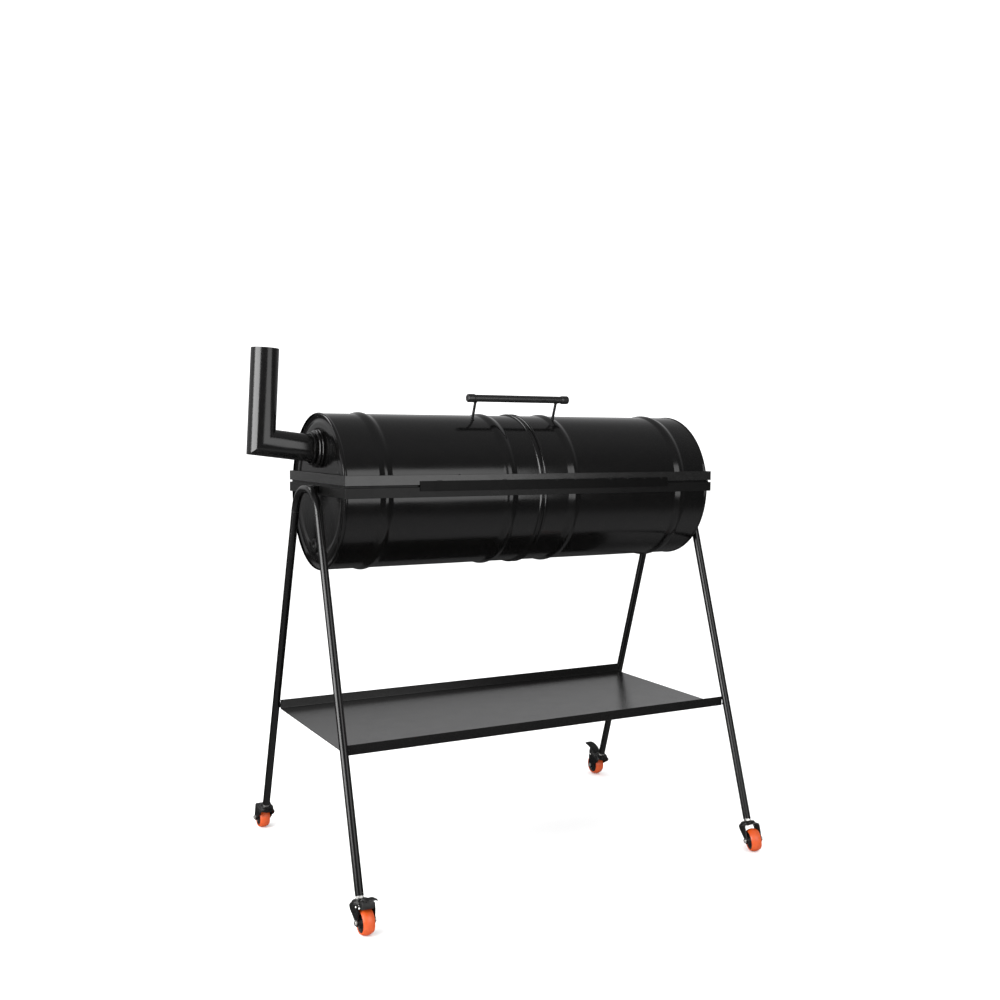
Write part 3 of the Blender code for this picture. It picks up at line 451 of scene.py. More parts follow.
def drum_radius(x):
    """Outside radius of the drums at a distance x from the barrel's middle."""
    radius = RADIUS
    for middle, distance in BEADS:
        for side in (-1, 1):
            radius += bump_at(x, middle + side * distance, BEAD_WIDTH, BEAD_HEIGHT, 1.5)
    for side in (-1, 1):
        radius += bump_at(x, SEAM + side * SEAM_LIP, SEAM_LIP_WIDTH, BEAD_HEIGHT, 0.7)
        radius += bump_at(x, side * (HALF_LENGTH - CHIME), CHIME_WIDTH, CHIME_HEIGHT, 0.7)
    return radius


def along_drum(side):
    """X places along one drum, close together where its shape turns."""
    places = {SEAM + side * GAP / 2, side * HALF_LENGTH}
    spots = [(SEAM + side * distance, BEAD_WIDTH / 2 + 0.003, 0.0020) for _, distance in BEADS]
    spots += [(SEAM + side * SEAM_LIP, 0.0065, 0.0006), (side * (HALF_LENGTH - CHIME), 0.0055, 0.0006)]
    for centre, reach, step in spots:
        count = round(reach / step)
        places |= {centre + k * step for k in range(-count, count + 1)}
    places |= {SEAM + side * 0.015 * k for k in range(1, 36)}
    inside = [x for x in places if side * (x - SEAM) > 0 and abs(x) <= HALF_LENGTH]
    return sorted(inside, key=lambda x: side * x, reverse=True)


def half_angle(radius, half):
    """Half the arc of the lid (half=1) or of the base (half=-1), from its own crown to its level cut."""
    return math.acos(half * (SPLIT - AXIS + half * RIM_CUT) / radius)


def shell(side, half, word, end):
    name = f"{word}_shell_{end}"
    xs = along_drum(side)
    outer = [(x, drum_radius(x)) for x in xs]
    profile = outer + [(x, radius - SHEET) for x, radius in reversed(outer)]
    steps = 112
    rings = []
    for k in range(steps + 1):
        share = 2 * k / steps - 1
        ring = []
        for x, radius in profile:
            angle = share * half_angle(radius, half)
            dent = noise.noise(Vector((x * 5.5, angle * 1.3, half * 7 + side * 3)))
            dent += 0.4 * noise.noise(Vector((x * 15, angle * 3.1, half * 5 + side)))
            calm = min(1.0, abs(abs(x) - HALF_LENGTH) / 0.05, abs(x - SEAM) / 0.05)
            radius += DENT_DEPTH * dent * calm
            y, z = radius * math.sin(angle), half * radius * math.cos(angle)
            ring.append((MIDDLE + x, y, AXIS + z))
        rings.append(ring)
    body = "lid" if half == 1 else "frame"
    piece(name + "_sheet", rings_mesh(name, rings), "drum", body, name)


def end_plate(side, half, word, end, hole=None):
    """The recessed head of a drum, with a pressed ring. hole is (Y, Z, radius)."""
    name = f"{word}_end_plate_{end}"
    limit = RADIUS - SHEET - 2 * GAP
    cut = SPLIT - AXIS + half * RIM_CUT
    reach = math.sqrt(limit**2 - cut**2)
    columns, rows = 120, 56
    points = []
    for face in (0, 1):
        for i in range(columns + 1):
            spread = math.sin(math.pi / 2 * (2 * i / columns - 1))
            y = spread * reach
            arc_z = half * math.sqrt(max(limit**2 - y**2, 0.0))
            for j in range(rows + 1):
                z = cut + (arc_z - cut) * j / rows
                r = math.hypot(y, z)
                pressed = PLATE_RING_DEPTH * smooth_step((r - PLATE_RING[0]) / 0.008)
                pressed -= PLATE_RING_DEPTH * smooth_step((r - PLATE_RING[1]) / 0.008)
                pressed += PLATE_EDGE_DEPTH * smooth_step((r - PLATE_EDGE) / 0.010)
                wave = PLATE_WAVE * noise.noise(Vector((y * 9, z * 9, side + half)))
                x = PLATE_X + pressed - face * SHEET + wave
                points.append((MIDDLE + side * x, y, AXIS + z))
    width = rows + 1
    count = (columns + 1) * width
    faces = []
    for i in range(columns):
        for j in range(rows):
            a, b = i * width + j, (i + 1) * width + j
            faces.append((a, b, b + 1, a + 1))
            faces.append((count + a, count + a + 1, count + b + 1, count + b))
    border = [i * width for i in range(columns + 1)]
    border += [columns * width + j for j in range(1, width)]
    border += [i * width + rows for i in range(columns - 1, -1, -1)]
    border += [j for j in range(rows - 1, 0, -1)]
    for k, a in enumerate(border):
        b = border[(k + 1) % len(border)]
        faces.append((a, a + count, b + count, b))
    mesh = clean_mesh(name, points, faces)
    if hole:
        y, z, radius = hole
        profile = [(0, -0.02), (radius, -0.02), (radius, 0.02), (0, 0.02)]
        cutter = turned("cut", profile, 72, along_x(MIDDLE + side * PLATE_X, y, z))
        mesh = combine(name, mesh, [cutter], "DIFFERENCE")
    body = "lid" if half == 1 else "frame"
    piece(name + "_pressing", mesh, "plate", body, name)


def smooth_step(t):
    t = min(max(t, 0.0), 1.0)
    return t * t * (3 - 2 * t)


def rim(word, half, material):
    """Angle-steel frame with mitred, welded corners."""
    low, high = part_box(f"{word}_rim")
    near = SPLIT + half * RIM_GAP
    far = high.z if half == 1 else low.z
    flange = near + half * RIM_STEEL
    profile = [(0, near)]
    if half == -1:
        back = SEAL_INSET + SEAL_STEEL
        profile += [(SEAL_INSET, near), (SEAL_INSET, high.z), (back, high.z), (back, near)]
    profile += [(RIM_FLANGE, near), (RIM_FLANGE, flange), (RIM_STEEL, flange), (RIM_STEEL, far), (0, far)]
    rings = []
    corners = [(low.x, low.y, 1, 1), (high.x, low.y, -1, 1)]
    corners += [(high.x, high.y, -1, -1), (low.x, high.y, 1, -1)]
    for x, y, sx, sy in corners:
        rings.append([(x + sx * i, y + sy * i, z) for i, z in profile])
    body = "lid" if half == 1 else "frame"
    mesh = rings_mesh(f"{word}_rim", rings, loop=True)
    piece(f"{word}_rim_angle", mesh, material, body, f"{word}_rim", bevel=0.0007)


def make_barrel():
    # The base rim gets the darker, less glossy copy of the rim paint: painted shade under the lid
    for word, half, material in (("lid", 1, "lid_rim"), ("base", -1, "base_rim")):
        for side, end in ((-1, "left"), (1, "right")):
            shell(side, half, word, end)
            hole = None
            if end == "left" and half == 1:
                collar_low, collar_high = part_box("chimney_collar")
                hole = (0, (collar_low.z + collar_high.z) / 2, COLLAR_HOLE)
            elif end == "left":
                ring_low, ring_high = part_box("air_vent_ring")
                hole = ((ring_low.y + ring_high.y) / 2, (ring_low.z + ring_high.z) / 2, VENT_HOLE)
            end_plate(side, half, word, end, hole)
        rim(word, half, material)


def make_vent_ring():
    low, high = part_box("air_vent_ring")
    profile = [
        (0.0095, 0.0002), (0.0105, 0.0), (0.0155, 0.0), (0.0168, 0.0005), (0.0178, 0.0016),
        (0.0180, 0.0028), (0.0180, 0.0058), (0.0120, 0.0058), (0.0120, 0.0088), (0.0095, 0.0088),
        (0.0095, 0.0075),
    ]
    threads = []
    for k in range(5, 0, -1):
        threads += [(0.0095, 0.0012 * k + 0.0006), (0.0100, 0.0012 * k)]
    place = along_x(low.x, (low.y + high.y) / 2, (low.z + high.z) / 2)
    mesh = turned("air_vent_ring", profile + threads, 64, place)
    # The bush takes the base rim's darker, less glossy paint, which is painted shade
    piece("air_vent_bush", mesh, "base_rim", "frame", "air_vent_ring")


# ---------------------------------------------------------------- grates and rails


def wire_grate(name, material, wire, frame_wire, bars, body):
    """A grate of round cross wires over two long carriers, inside a bent wire frame."""
    low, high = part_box(name)
    z = low.z + frame_wire
    inset = frame_wire
    x0, x1, y0, y1 = low.x + inset, high.x - inset, low.y + inset, high.y - inset
    corner = 0.012
    path = []
    for cx, cy, start in ((x1 - corner, y1 - corner, 0), (x0 + corner, y1 - corner, 90),
                          (x0 + corner, y0 + corner, 180), (x1 - corner, y0 + corner, 270)):
        path += [Vector((*point, z)) for point in arc(cx, cy, corner, start, start + 90, 6)]
    rings = []
    for i, point in enumerate(path):
        ahead = (path[(i + 1) % len(path)] - path[i - 1]).normalized()
        side = ahead.cross(Vector((0, 0, 1)))
        up = Vector((0, 0, 1))
        turns = [2 * math.pi * k / 12 for k in range(12)]
        rings.append([point + frame_wire * (side * math.cos(a) + up * math.sin(a)) for a in turns])
    shapes = [rings_mesh("frame", rings, loop=True)]
    for k in range(1, bars + 1):
        x = x0 + (x1 - x0) * k / (bars + 1)
        shapes.append(rod("bar", (x, y0, z), (x, y1, z), wire, 10))
    for y in (y0 + (y1 - y0) * 0.25, (y0 + y1) / 2, y0 + (y1 - y0) * 0.75):
        shapes.append(rod("carrier", (x0, y, z - wire * 0.4), (x1, y, z - wire * 0.4), wire, 10))
    piece(name + "_wires", merged(name, shapes), material, body, name)


def make_grates():
    wire_grate("cooking_grate_left", "wire", 0.0014, 0.0020, 38, "cooking_grate_left")
    wire_grate("cooking_grate_right", "wire", 0.0014, 0.0020, 38, "cooking_grate_right")
    wire_grate("charcoal_grate", "steel", 0.0018, 0.0020, 58, "charcoal_grate")
    for word in ("front", "back"):
        name = f"grate_rail_{word}"
        low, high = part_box(name)
        piece(name + "_flat", block(name, low, high), "steel", "frame", name, bevel=0.0005)


# ---------------------------------------------------------------- lid fittings


def make_front_strip():
    low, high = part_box("front_closing_strip")
    mesh = block("front_closing_strip", low, high)
    piece("front_closing_flat", mesh, "strip", "lid", "front_closing_strip", bevel=0.0006)
    for k in range(7):
        x = MIDDLE + 0.038 + 0.0545 * k
        beads = [(0, 0), (0.0016, 0), (0.0013, 0.0005), (0.0008, 0.0008), (0, 0.0009)]
        place = Matrix.Translation((x, low.y, high.z - 0.0019)) @ Matrix.Rotation(math.pi / 2, 4, "X")
        spot = turned(f"strip_tack_{k}", beads, 16, place)
        piece(f"strip_tack_{k}", spot, "weld", "lid")
    for k, x in enumerate((-0.30, -0.12, 0.06, 0.24, 0.36)):
        line = [(MIDDLE + x + 0.0015 * i, low.y + 0.0022, high.z + 0.0003) for i in range(9)]
        weld_bead(f"strip_weld_{k}", line, 0.0011, "lid")
    mark_y, mark_z = LID_RIM_LOW.y + 0.0012, LID_RIM_HIGH.z - 0.0006
    mark = [(MIDDLE - 0.246 + 0.0012 * i, mark_y, mark_z) for i in range(9)]
    weld_bead("rim_tack", mark, 0.0014, "lid")


def make_handle():
    low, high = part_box("handle_bar")
    centre = (low + high) / 2
    radius = (high.z - low.z) / 2
    path = [(low.x, centre.y, centre.z), (high.x, centre.y, centre.z)]
    bar = tube("handle_bar", path, (0, 1, 0), radius, HANDLE_WALL, 64)
    piece("handle_bar_tube", bar, "grip", "lid", "handle_bar", bevel=0.0003)
    outward = (centre - Vector((centre.x, 0, AXIS))).normalized()
    for side, word in ((-1, "left"), (1, "right")):
        name = f"handle_end_cap_{word}"
        cap_low, cap_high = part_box(name)
        outer = (cap_high.z - cap_low.z) / 2
        length = cap_high.x - cap_low.x
        bore = radius + GAP
        dome = [(outer - 0.0042 + 0.0042 * math.cos(a), length - 0.0042 + 0.0042 * math.sin(a))
                for a in (k * math.pi / 12 for k in range(7))]
        profile = [(bore, 0.0003), (outer - 0.0011, 0), (outer - 0.0004, 0.0004), (outer - 0.0003, 0.0012)]
        profile += [(outer, 0.0022), (outer, 0.0040)] + dome
        profile += [(outer - 0.0062, length - 0.0003), (0, length)]
        profile += [(0, length - 0.0013), (bore, length - 0.0013)]
        place = along_x(cap_low.x, centre.y, centre.z)
        if side == -1:
            place = along_x(cap_high.x, centre.y, centre.z) @ Matrix.Rotation(math.pi, 4, "X")
        piece(name + "_moulding", turned(name, profile, 64, place), "grip", "lid", name)
        name = f"handle_post_{word}"
        post_low, post_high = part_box(name)
        x = (post_low.x + post_high.x) / 2
        wall = Vector((x, 0, AXIS)) + outward * (drum_radius(x - MIDDLE) + GAP)
        under = Vector((x, centre.y, centre.z)) - outward * (radius + GAP)
        piece(name + "_rod", rod(name, wall, under, POST_RADIUS, 24), "tube", "lid", name)
        turn = outward.to_track_quat("Z", "Y").to_matrix().to_4x4()
        turns = [2 * math.pi * k / 18 for k in range(19)]
        weld = POST_RADIUS + 0.0004
        foot, head = wall + outward * 0.0006, under - outward * 0.0004
        for spot, place, thick in (("foot", foot, 0.0013), ("head", head, 0.0010)):
            circle = [place + turn @ Vector((weld * math.cos(a), weld * math.sin(a), 0)) for a in turns]
            weld_bead(f"handle_{spot}_weld_{word}", circle, thick, "lid")


def make_chimney():
    collar_low, collar_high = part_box("chimney_collar")
    collar_z = (collar_low.z + collar_high.z) / 2
    start = Vector((collar_low.x + PIPE_IN_COLLAR, 0, collar_z))
    along = Vector((-math.cos(ELBOW_TILT), 0, math.sin(ELBOW_TILT)))
    up = Vector((math.sin(PIPE_LEAN), 0, math.cos(PIPE_LEAN)))
    elbow_x = MIDDLE - HALF_LENGTH - ELBOW_REACH
    elbow = start + along * ((start.x - elbow_x) / math.cos(ELBOW_TILT))
    top = elbow + up * PIPE_RISE
    pipe = tube("chimney_pipe", [start, elbow, top], (0, 1, 0), PIPE_RADIUS, PIPE_WALL, 96)
    piece("chimney_pipe_tube", pipe, "chimney", "lid", "chimney_pipe", bevel=0.0004)
    across = (up - along).normalized()
    mitre = (up + along).normalized()
    stretch = 1 / abs(mitre.dot(up))
    ring = []
    for k in range(97):
        a = 2 * math.pi * k / 96
        reach = PIPE_RADIUS * 0.978
        ring.append(elbow + across * (reach * stretch * math.cos(a)) + Vector((0, reach * math.sin(a), 0)))
    weld_bead("chimney_mitre_weld", ring, 0.0007, "lid")
    face = collar_high.x - collar_low.x
    plate = MIDDLE - PLATE_X - GAP - collar_low.x
    outer, ring_r, groove, socket = COLLAR_FLANGE, COLLAR_RING, COLLAR_GROOVE, COLLAR_SOCKET
    throat = PIPE_RADIUS - PIPE_WALL
    mouth = [(socket, 0.0008), (socket + 0.0006, 0.0)]
    ring = [(ring_r - 0.0020, 0.0), (ring_r - 0.0006, 0.0006), (ring_r, 0.0020), (ring_r, 0.0060)]
    ring += [(ring_r - 0.0006, 0.0070), (groove, 0.0078), (groove, 0.0092)]
    step = [(outer - 0.0062, 0.0108), (outer - 0.0030, 0.0113), (outer - 0.0012, 0.0126)]
    step += [(outer - 0.0006, 0.0146), (outer - 0.0012, 0.0166), (outer - 0.0030, 0.0177)]
    flange = [(outer - 0.0030, 0.0186), (outer - 0.0008, 0.0196), (outer, 0.0210)]
    flange += [(outer, plate - 0.0034), (outer - 0.0006, plate - 0.0020), (outer - 0.0008, plate)]
    spigot = [(groove, plate), (groove, face), (throat, face), (throat, COLLAR_SEAT), (socket, COLLAR_SEAT)]
    profile = mouth + ring + step + flange + spigot
    collar = turned("chimney_collar", profile, 96, along_x(collar_low.x, 0, collar_z))
    piece("chimney_collar_rings", collar, "plate", "lid", "chimney_collar")


def make_hinges():
    joint = JOINTS["lid_hinge"]
    _, axis_y, axis_z = joint["pos_m"]
    knuckle, bore, steel = 0.0054, 0.0027, 0.002
    for word in ("left", "right"):
        low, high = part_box(f"hinge_leaf_base_{word}")
        middle, half_length = (low.x + high.x) / 2, (high.x - low.x) / 2
        for kind, half, body in (("base", -1, "frame"), ("lid", 1, "lid")):
            node = f"hinge_leaf_{kind}_{word}"
            spans = [(-0.010, 0.010)] if kind == "lid" else [(-half_length, -0.0103), (0.0103, half_length)]
            front = LID_RIM_HIGH.y + GAP
            near, far = axis_z + half * 0.0065, axis_z + half * 0.0224
            outline = [(front, near), (front + steel, near), (front + steel, far), (front, far)]
            shapes = [extruded("plate", outline, middle - half_length, middle + half_length)]
            for a, b in spans:
                tab = [(front, axis_z + half * 0.001), (front + steel, axis_z + half * 0.001),
                       (front + steel, near + half * 0.002), (front, near + half * 0.002)]
                shapes.append(extruded("tab", tab, middle + a, middle + b))
                profile = [(bore, a), (knuckle - 0.0004, a), (knuckle, a + 0.0005), (knuckle, b - 0.0005),
                           (knuckle - 0.0004, b), (bore, b)]
                shapes.append(turned("knuckle", profile, 40, along_x(middle, axis_y, axis_z)))
            mesh = merged(node, shapes)
            piece(f"{node}_sheet", mesh, "strip", body, node, bevel=0.0003)
            for x in (-half_length + 0.001, half_length - 0.001):
                line = [(middle + x, front + 0.0006, near + half * (0.002 + 0.0012 * i)) for i in range(11)]
                weld_bead(f"{node}_weld_{'a' if x < 0 else 'b'}", line, 0.0014, body)
        pin_low, pin_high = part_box(f"hinge_pin_{word}")
        length, head = pin_high.x - pin_low.x, 0.0037
        profile = [(0, 0), (head - 0.0008, 0.0), (head, 0.0009), (head, 0.0024), (head - 0.0006, 0.0030),
                   (0.0025, 0.0030), (0.0025, length - 0.0006), (0.0019, length), (0, length)]
        pin = turned("pin", profile, 32, along_x(pin_low.x, axis_y, axis_z))
        piece(f"hinge_pin_{word}_turned", pin, "zinc", "frame", f"hinge_pin_{word}")


# ---------------------------------------------------------------- stand


def make_stand():
    for end in ("left", "right"):
        side = -1 if end == "left" else 1
        _, arch_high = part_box(f"stand_arch_{end}")
        leg_low, leg_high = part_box(f"leg_front_{end}")
        x = (leg_low.x + leg_high.x) / 2
        top_z = arch_high.z - TUBE
        bend, turn = ARCH_BEND, math.pi / 2 - LEG_SPLAY
        flat = LEG_SPREAD + (SPLIT - top_z) * math.tan(LEG_SPLAY) - bend * math.tan(turn / 2)
        half = []
        for k in range(25):
            a = turn * k / 24
            half.append((flat + bend * math.sin(a), top_z - bend + bend * math.cos(a)))
        end_y = half[-1][0] + ARCH_TAIL * math.sin(LEG_SPLAY)
        end_z = half[-1][1] - ARCH_TAIL * math.cos(LEG_SPLAY)
        half.append((end_y, end_z))
        path = [(x, -y, z) for y, z in reversed(half)] + [(x, y, z) for y, z in half]
        arch = tube(f"stand_arch_{end}", path, (1, 0, 0), TUBE, TUBE_WALL, 40)
        piece(f"stand_arch_{end}_tube", arch, "tube", "frame", f"stand_arch_{end}")
        inner = BASE_RIM_HIGH.x + GAP if side == 1 else BASE_RIM_LOW.x - GAP
        outer = x - side * (TUBE - 0.0004)
        low, high = sorted((inner, outer))
        spacer = block("spacer", (low, -0.025, top_z - 0.009), (high, 0.025, top_z + 0.009))
        piece(f"arch_spacer_{end}", spacer, "tube", "frame", bevel=0.0012, segments=3)
        for row, z in (("top", top_z + 0.0086), ("bottom", top_z - 0.0086)):
            line = [(outer + side * 0.0006, -0.022 + 0.0011 * i, z) for i in range(41)]
            weld_bead(f"spacer_weld_{row}_{end}", line, 0.0012, "frame")
        for sy, word in ((-1, "front"), (1, "back")):
            name = f"leg_{word}_{end}"
            down = Vector((0, sy * math.sin(LEG_SPLAY), -math.cos(LEG_SPLAY)))
            top = Vector((x, sy * end_y, end_z)) + down * GAP
            joint = JOINTS[f"castor_swivel_{word}_{end}"]
            foot = Vector(joint["pos_m"])
            leg = tube(name, [top, foot], (1, 0, 0), TUBE, TUBE_WALL, 40)
            piece(f"{name}_tube", leg, "tube", "frame", name, bevel=0.0003)
            side_way = Vector((1, 0, 0))
            out_way = down.cross(side_way)
            circle = []
            for k in range(49):
                a = 2 * math.pi * k / 48
                circle.append(top + (side_way * math.cos(a) + out_way * math.sin(a)) * (TUBE - 0.0003))
            weld_bead(f"{name}_weld", circle, 0.0008, "frame")


def make_shelf():
    low, high = SHELF_LOW, SHELF_HIGH
    steel, bend = SHELF_STEEL, SHELF_BEND
    lip = high.z - low.z
    outer = [(low.y, high.z)] + arc(low.y + bend, low.z + bend, bend, 180, 270, 6)
    outer += arc(high.y - bend, low.z + bend, bend, 270, 360, 6) + [(high.y, high.z)]
    inner = [(high.y - steel, high.z)] + arc(high.y - bend, low.z + bend, bend - steel, 0, -90, 6)
    inner += arc(low.y + bend, low.z + bend, bend - steel, 270, 180, 6) + [(low.y + steel, high.z)]
    outline = outer + inner
    columns = 48
    rings = []
    for k in range(columns + 1):
        x = low.x + (high.x - low.x) * k / columns
        bow = math.sin(math.pi * k / columns)
        rings.append([(x, y, z) for y, z in outline])
        if 0 < k < columns:
            inward = [SHELF_BOW * bow * (1 if y < 0 else -1) * (z - low.z) / lip for y, z in outline]
            rings[-1] = [(x, y + move, z) for (y, z), move in zip(outline, inward)]
    mesh = rings_mesh("shelf_tray", rings)
    piece("shelf_tray_sheet", mesh, "shelf", "frame", "shelf_tray", bevel=0.0003)
    for end, x in (("left", low.x + 0.0006), ("right", high.x - 0.0006)):
        for sy in (-1, 1):
            y_leg = sy * (LEG_SPREAD + (SPLIT - low.z - 0.012) * math.tan(LEG_SPLAY) - 0.002)
            line = [(x, y_leg + 0.0004 * i * sy, low.z + 0.003 + 0.0013 * i) for i in range(12)]
            weld_bead(f"shelf_weld_{end}_{'front' if sy < 0 else 'back'}", line, 0.0016, "frame")


# ---------------------------------------------------------------- castors


WHEEL, HALF_TREAD, DROP, TRAIL = 0.0298, 0.0138, 0.055, 0.020
FORK_IN, FORK_OUT = 0.0185, 0.0215
PIVOT_Y, PIVOT_Z = -0.030, -0.0205


def castor_fork(name, place, body, brake):
    outer = [(-FORK_OUT, -0.072)] + [(-y, z) for y, z in arc(FORK_OUT - 0.0075, -0.0195, 0.0075, 0, 90, 8)]
    outer += arc(FORK_OUT - 0.0075, -0.0195, 0.0075, 90, 0, 8) + [(FORK_OUT, -0.072)]
    inner = [(FORK_IN, -0.072)] + arc(FORK_IN - 0.0045, -0.0195, 0.0045, 0, 90, 6)
    inner += [(-y, z) for y, z in arc(FORK_IN - 0.0045, -0.0195, 0.0045, 90, 0, 6)] + [(-FORK_IN, -0.072)]
    yoke = rings_mesh("yoke", [[(x, y, z) for x, z in outer + inner] for y in (-0.045, 0.030)])
    back = PIVOT_Y - 0.0065 if brake else -0.030
    lobe = arc(-TRAIL, -DROP, 0.0085, 20, -200, 22)
    side = [(0.0155, -0.0110), (0.0155, -0.0190), (0.0130, -0.0260)] + lobe
    side += [(back, -0.0300), (back, -0.0150), (-0.018, -0.0110)]
    cheek = extruded("cheek", side, -0.04, 0.04)
    fork = combine("fork", yoke, [cheek], "INTERSECT", 30)
    piece(f"castor_fork_{name}_yoke", fork_at(fork, place), "fork", body,
          f"castor_fork_{name}", bevel=0.0006)
    cup = [(0.0048, -0.0062), (0.0120, -0.0062), (0.0150, -0.0066), (0.0176, -0.0078), (0.0188, -0.0092),
           (0.0188, -0.0106), (0.0202, -0.0110), (0.0208, -0.0122), (0.0208, -0.0150), (0.0202, -0.0162),
           (0.0048, -0.0162)]
    piece(f"castor_cup_{name}", turned("cup", cup, 56, place), "fork", body)
    rivet = [(0, -0.0166), (0.0058, -0.0166), (0.0056, -0.0178), (0.0040, -0.0188), (0, -0.0190)]
    piece(f"castor_rivet_{name}", turned("rivet", rivet, 32, place), "zinc", body)


def fork_at(mesh, place):
    mesh.transform(place)
    return mesh


def hexagon(name, radius, low, high, place):
    """A nut with its corners turned off."""
    blank = [(0, low), (radius, low), (radius, high), (0, high)]
    nut = turned(name, blank, 6)
    cone = [(0, low), (radius * 0.88, low), (radius * 1.02, low + 0.0010), (radius * 1.02, high - 0.0010),
            (radius * 0.88, high), (0, high)]
    nut = combine(name, nut, [turned("cone", cone, 48)], "INTERSECT", 25)
    nut.transform(place)
    return nut


def castor_wheel(name, place, body, fork_body):
    profile = [(WHEEL - 0.0068, -HALF_TREAD + 0.0010), (WHEEL - 0.0060, -HALF_TREAD)]
    for k in range(-12, 13):
        share = k / 12
        profile.append((WHEEL - 0.0044 * abs(share) ** 2.2, share * HALF_TREAD))
    profile += [(WHEEL - 0.0060, HALF_TREAD), (WHEEL - 0.0068, HALF_TREAD - 0.0010)]
    spin = place @ Matrix.Rotation(math.pi / 2, 4, "Y")
    piece(f"wheel_tread_{name}_moulding", turned("tread", profile, 96, spin), "tread", body,
          f"wheel_tread_{name}")
    rim_r = WHEEL - 0.0070
    half = [(0.0034, 0.0178), (0.0070, 0.0178), (0.0085, 0.0172), (0.0088, 0.0105), (0.0100, 0.0085),
            (0.0180, 0.0080), (0.0195, 0.0092), (rim_r - 0.0014, 0.0122), (rim_r, 0.0126)]
    profile = half + [(r, -h) for r, h in reversed(half)]
    shapes = [turned("hub", profile, 64)]
    for k in range(8):
        for side in (-1, 1):
            low, high = sorted((side * 0.0078, side * 0.0118))
            rib = block("rib", (0.0080, -0.0009, low), (0.0198, 0.0009, high))
            rib.transform(Matrix.Rotation(math.pi * k / 4, 4, "Z"))
            shapes.append(rib)
    hub = merged("hub", shapes)
    hub.transform(spin)
    piece(f"wheel_hub_{name}_moulding", hub, "hub", body, f"wheel_hub_{name}")
    face = FORK_OUT + GAP
    bolt = [(0, -face - 0.0030), (0.0040, -face - 0.0030), (0.0052, -face - 0.0022)]
    bolt += [(0.0055, -face - 0.0010), (0.0055, -face), (0.0030, -face), (0.0030, face + 0.0040)]
    bolt += [(0.0024, face + 0.0044), (0, face + 0.0044)]
    piece(f"axle_bolt_{name}_turned", turned("bolt", bolt, 40, spin), "zinc", fork_body,
          f"axle_bolt_{name}")
    for side, word in ((1, "nut"), (-1, "head")):
        low, high = sorted((side * (face + 0.0008), side * (face + 0.0038)))
        nut = hexagon("nut", 0.0056, low, high, spin)
        piece(f"axle_{word}_{name}", nut, "zinc", fork_body)
        washer = [(0.0032, side * face), (0.0064, side * face), (0.0064, side * (face + 0.0008)),
                  (0.0032, side * (face + 0.0008))]
        washer = turned("washer", washer, 40, spin)
        piece(f"axle_washer_{word}_{name}", washer, "zinc", fork_body)


def castor_stem(name, place):
    bore = TUBE - TUBE_WALL - GAP
    profile = [(0, 0.026), (bore - 0.001, 0.026), (bore, 0.025), (bore, GAP), (0.0098, -GAP)]
    profile += [(0.0098, -0.0012), (0.0046, -0.0012), (0.0046, -0.0150), (0, -0.0150)]
    stem = turned("stem", profile, 48, place)
    piece(f"castor_stem_{name}_turned", stem, "zinc", "frame", f"castor_stem_{name}")
    nut = hexagon("nut", 0.0098, -0.0056, -0.0013, place)
    piece(f"castor_nut_{name}", nut, "zinc", "frame")


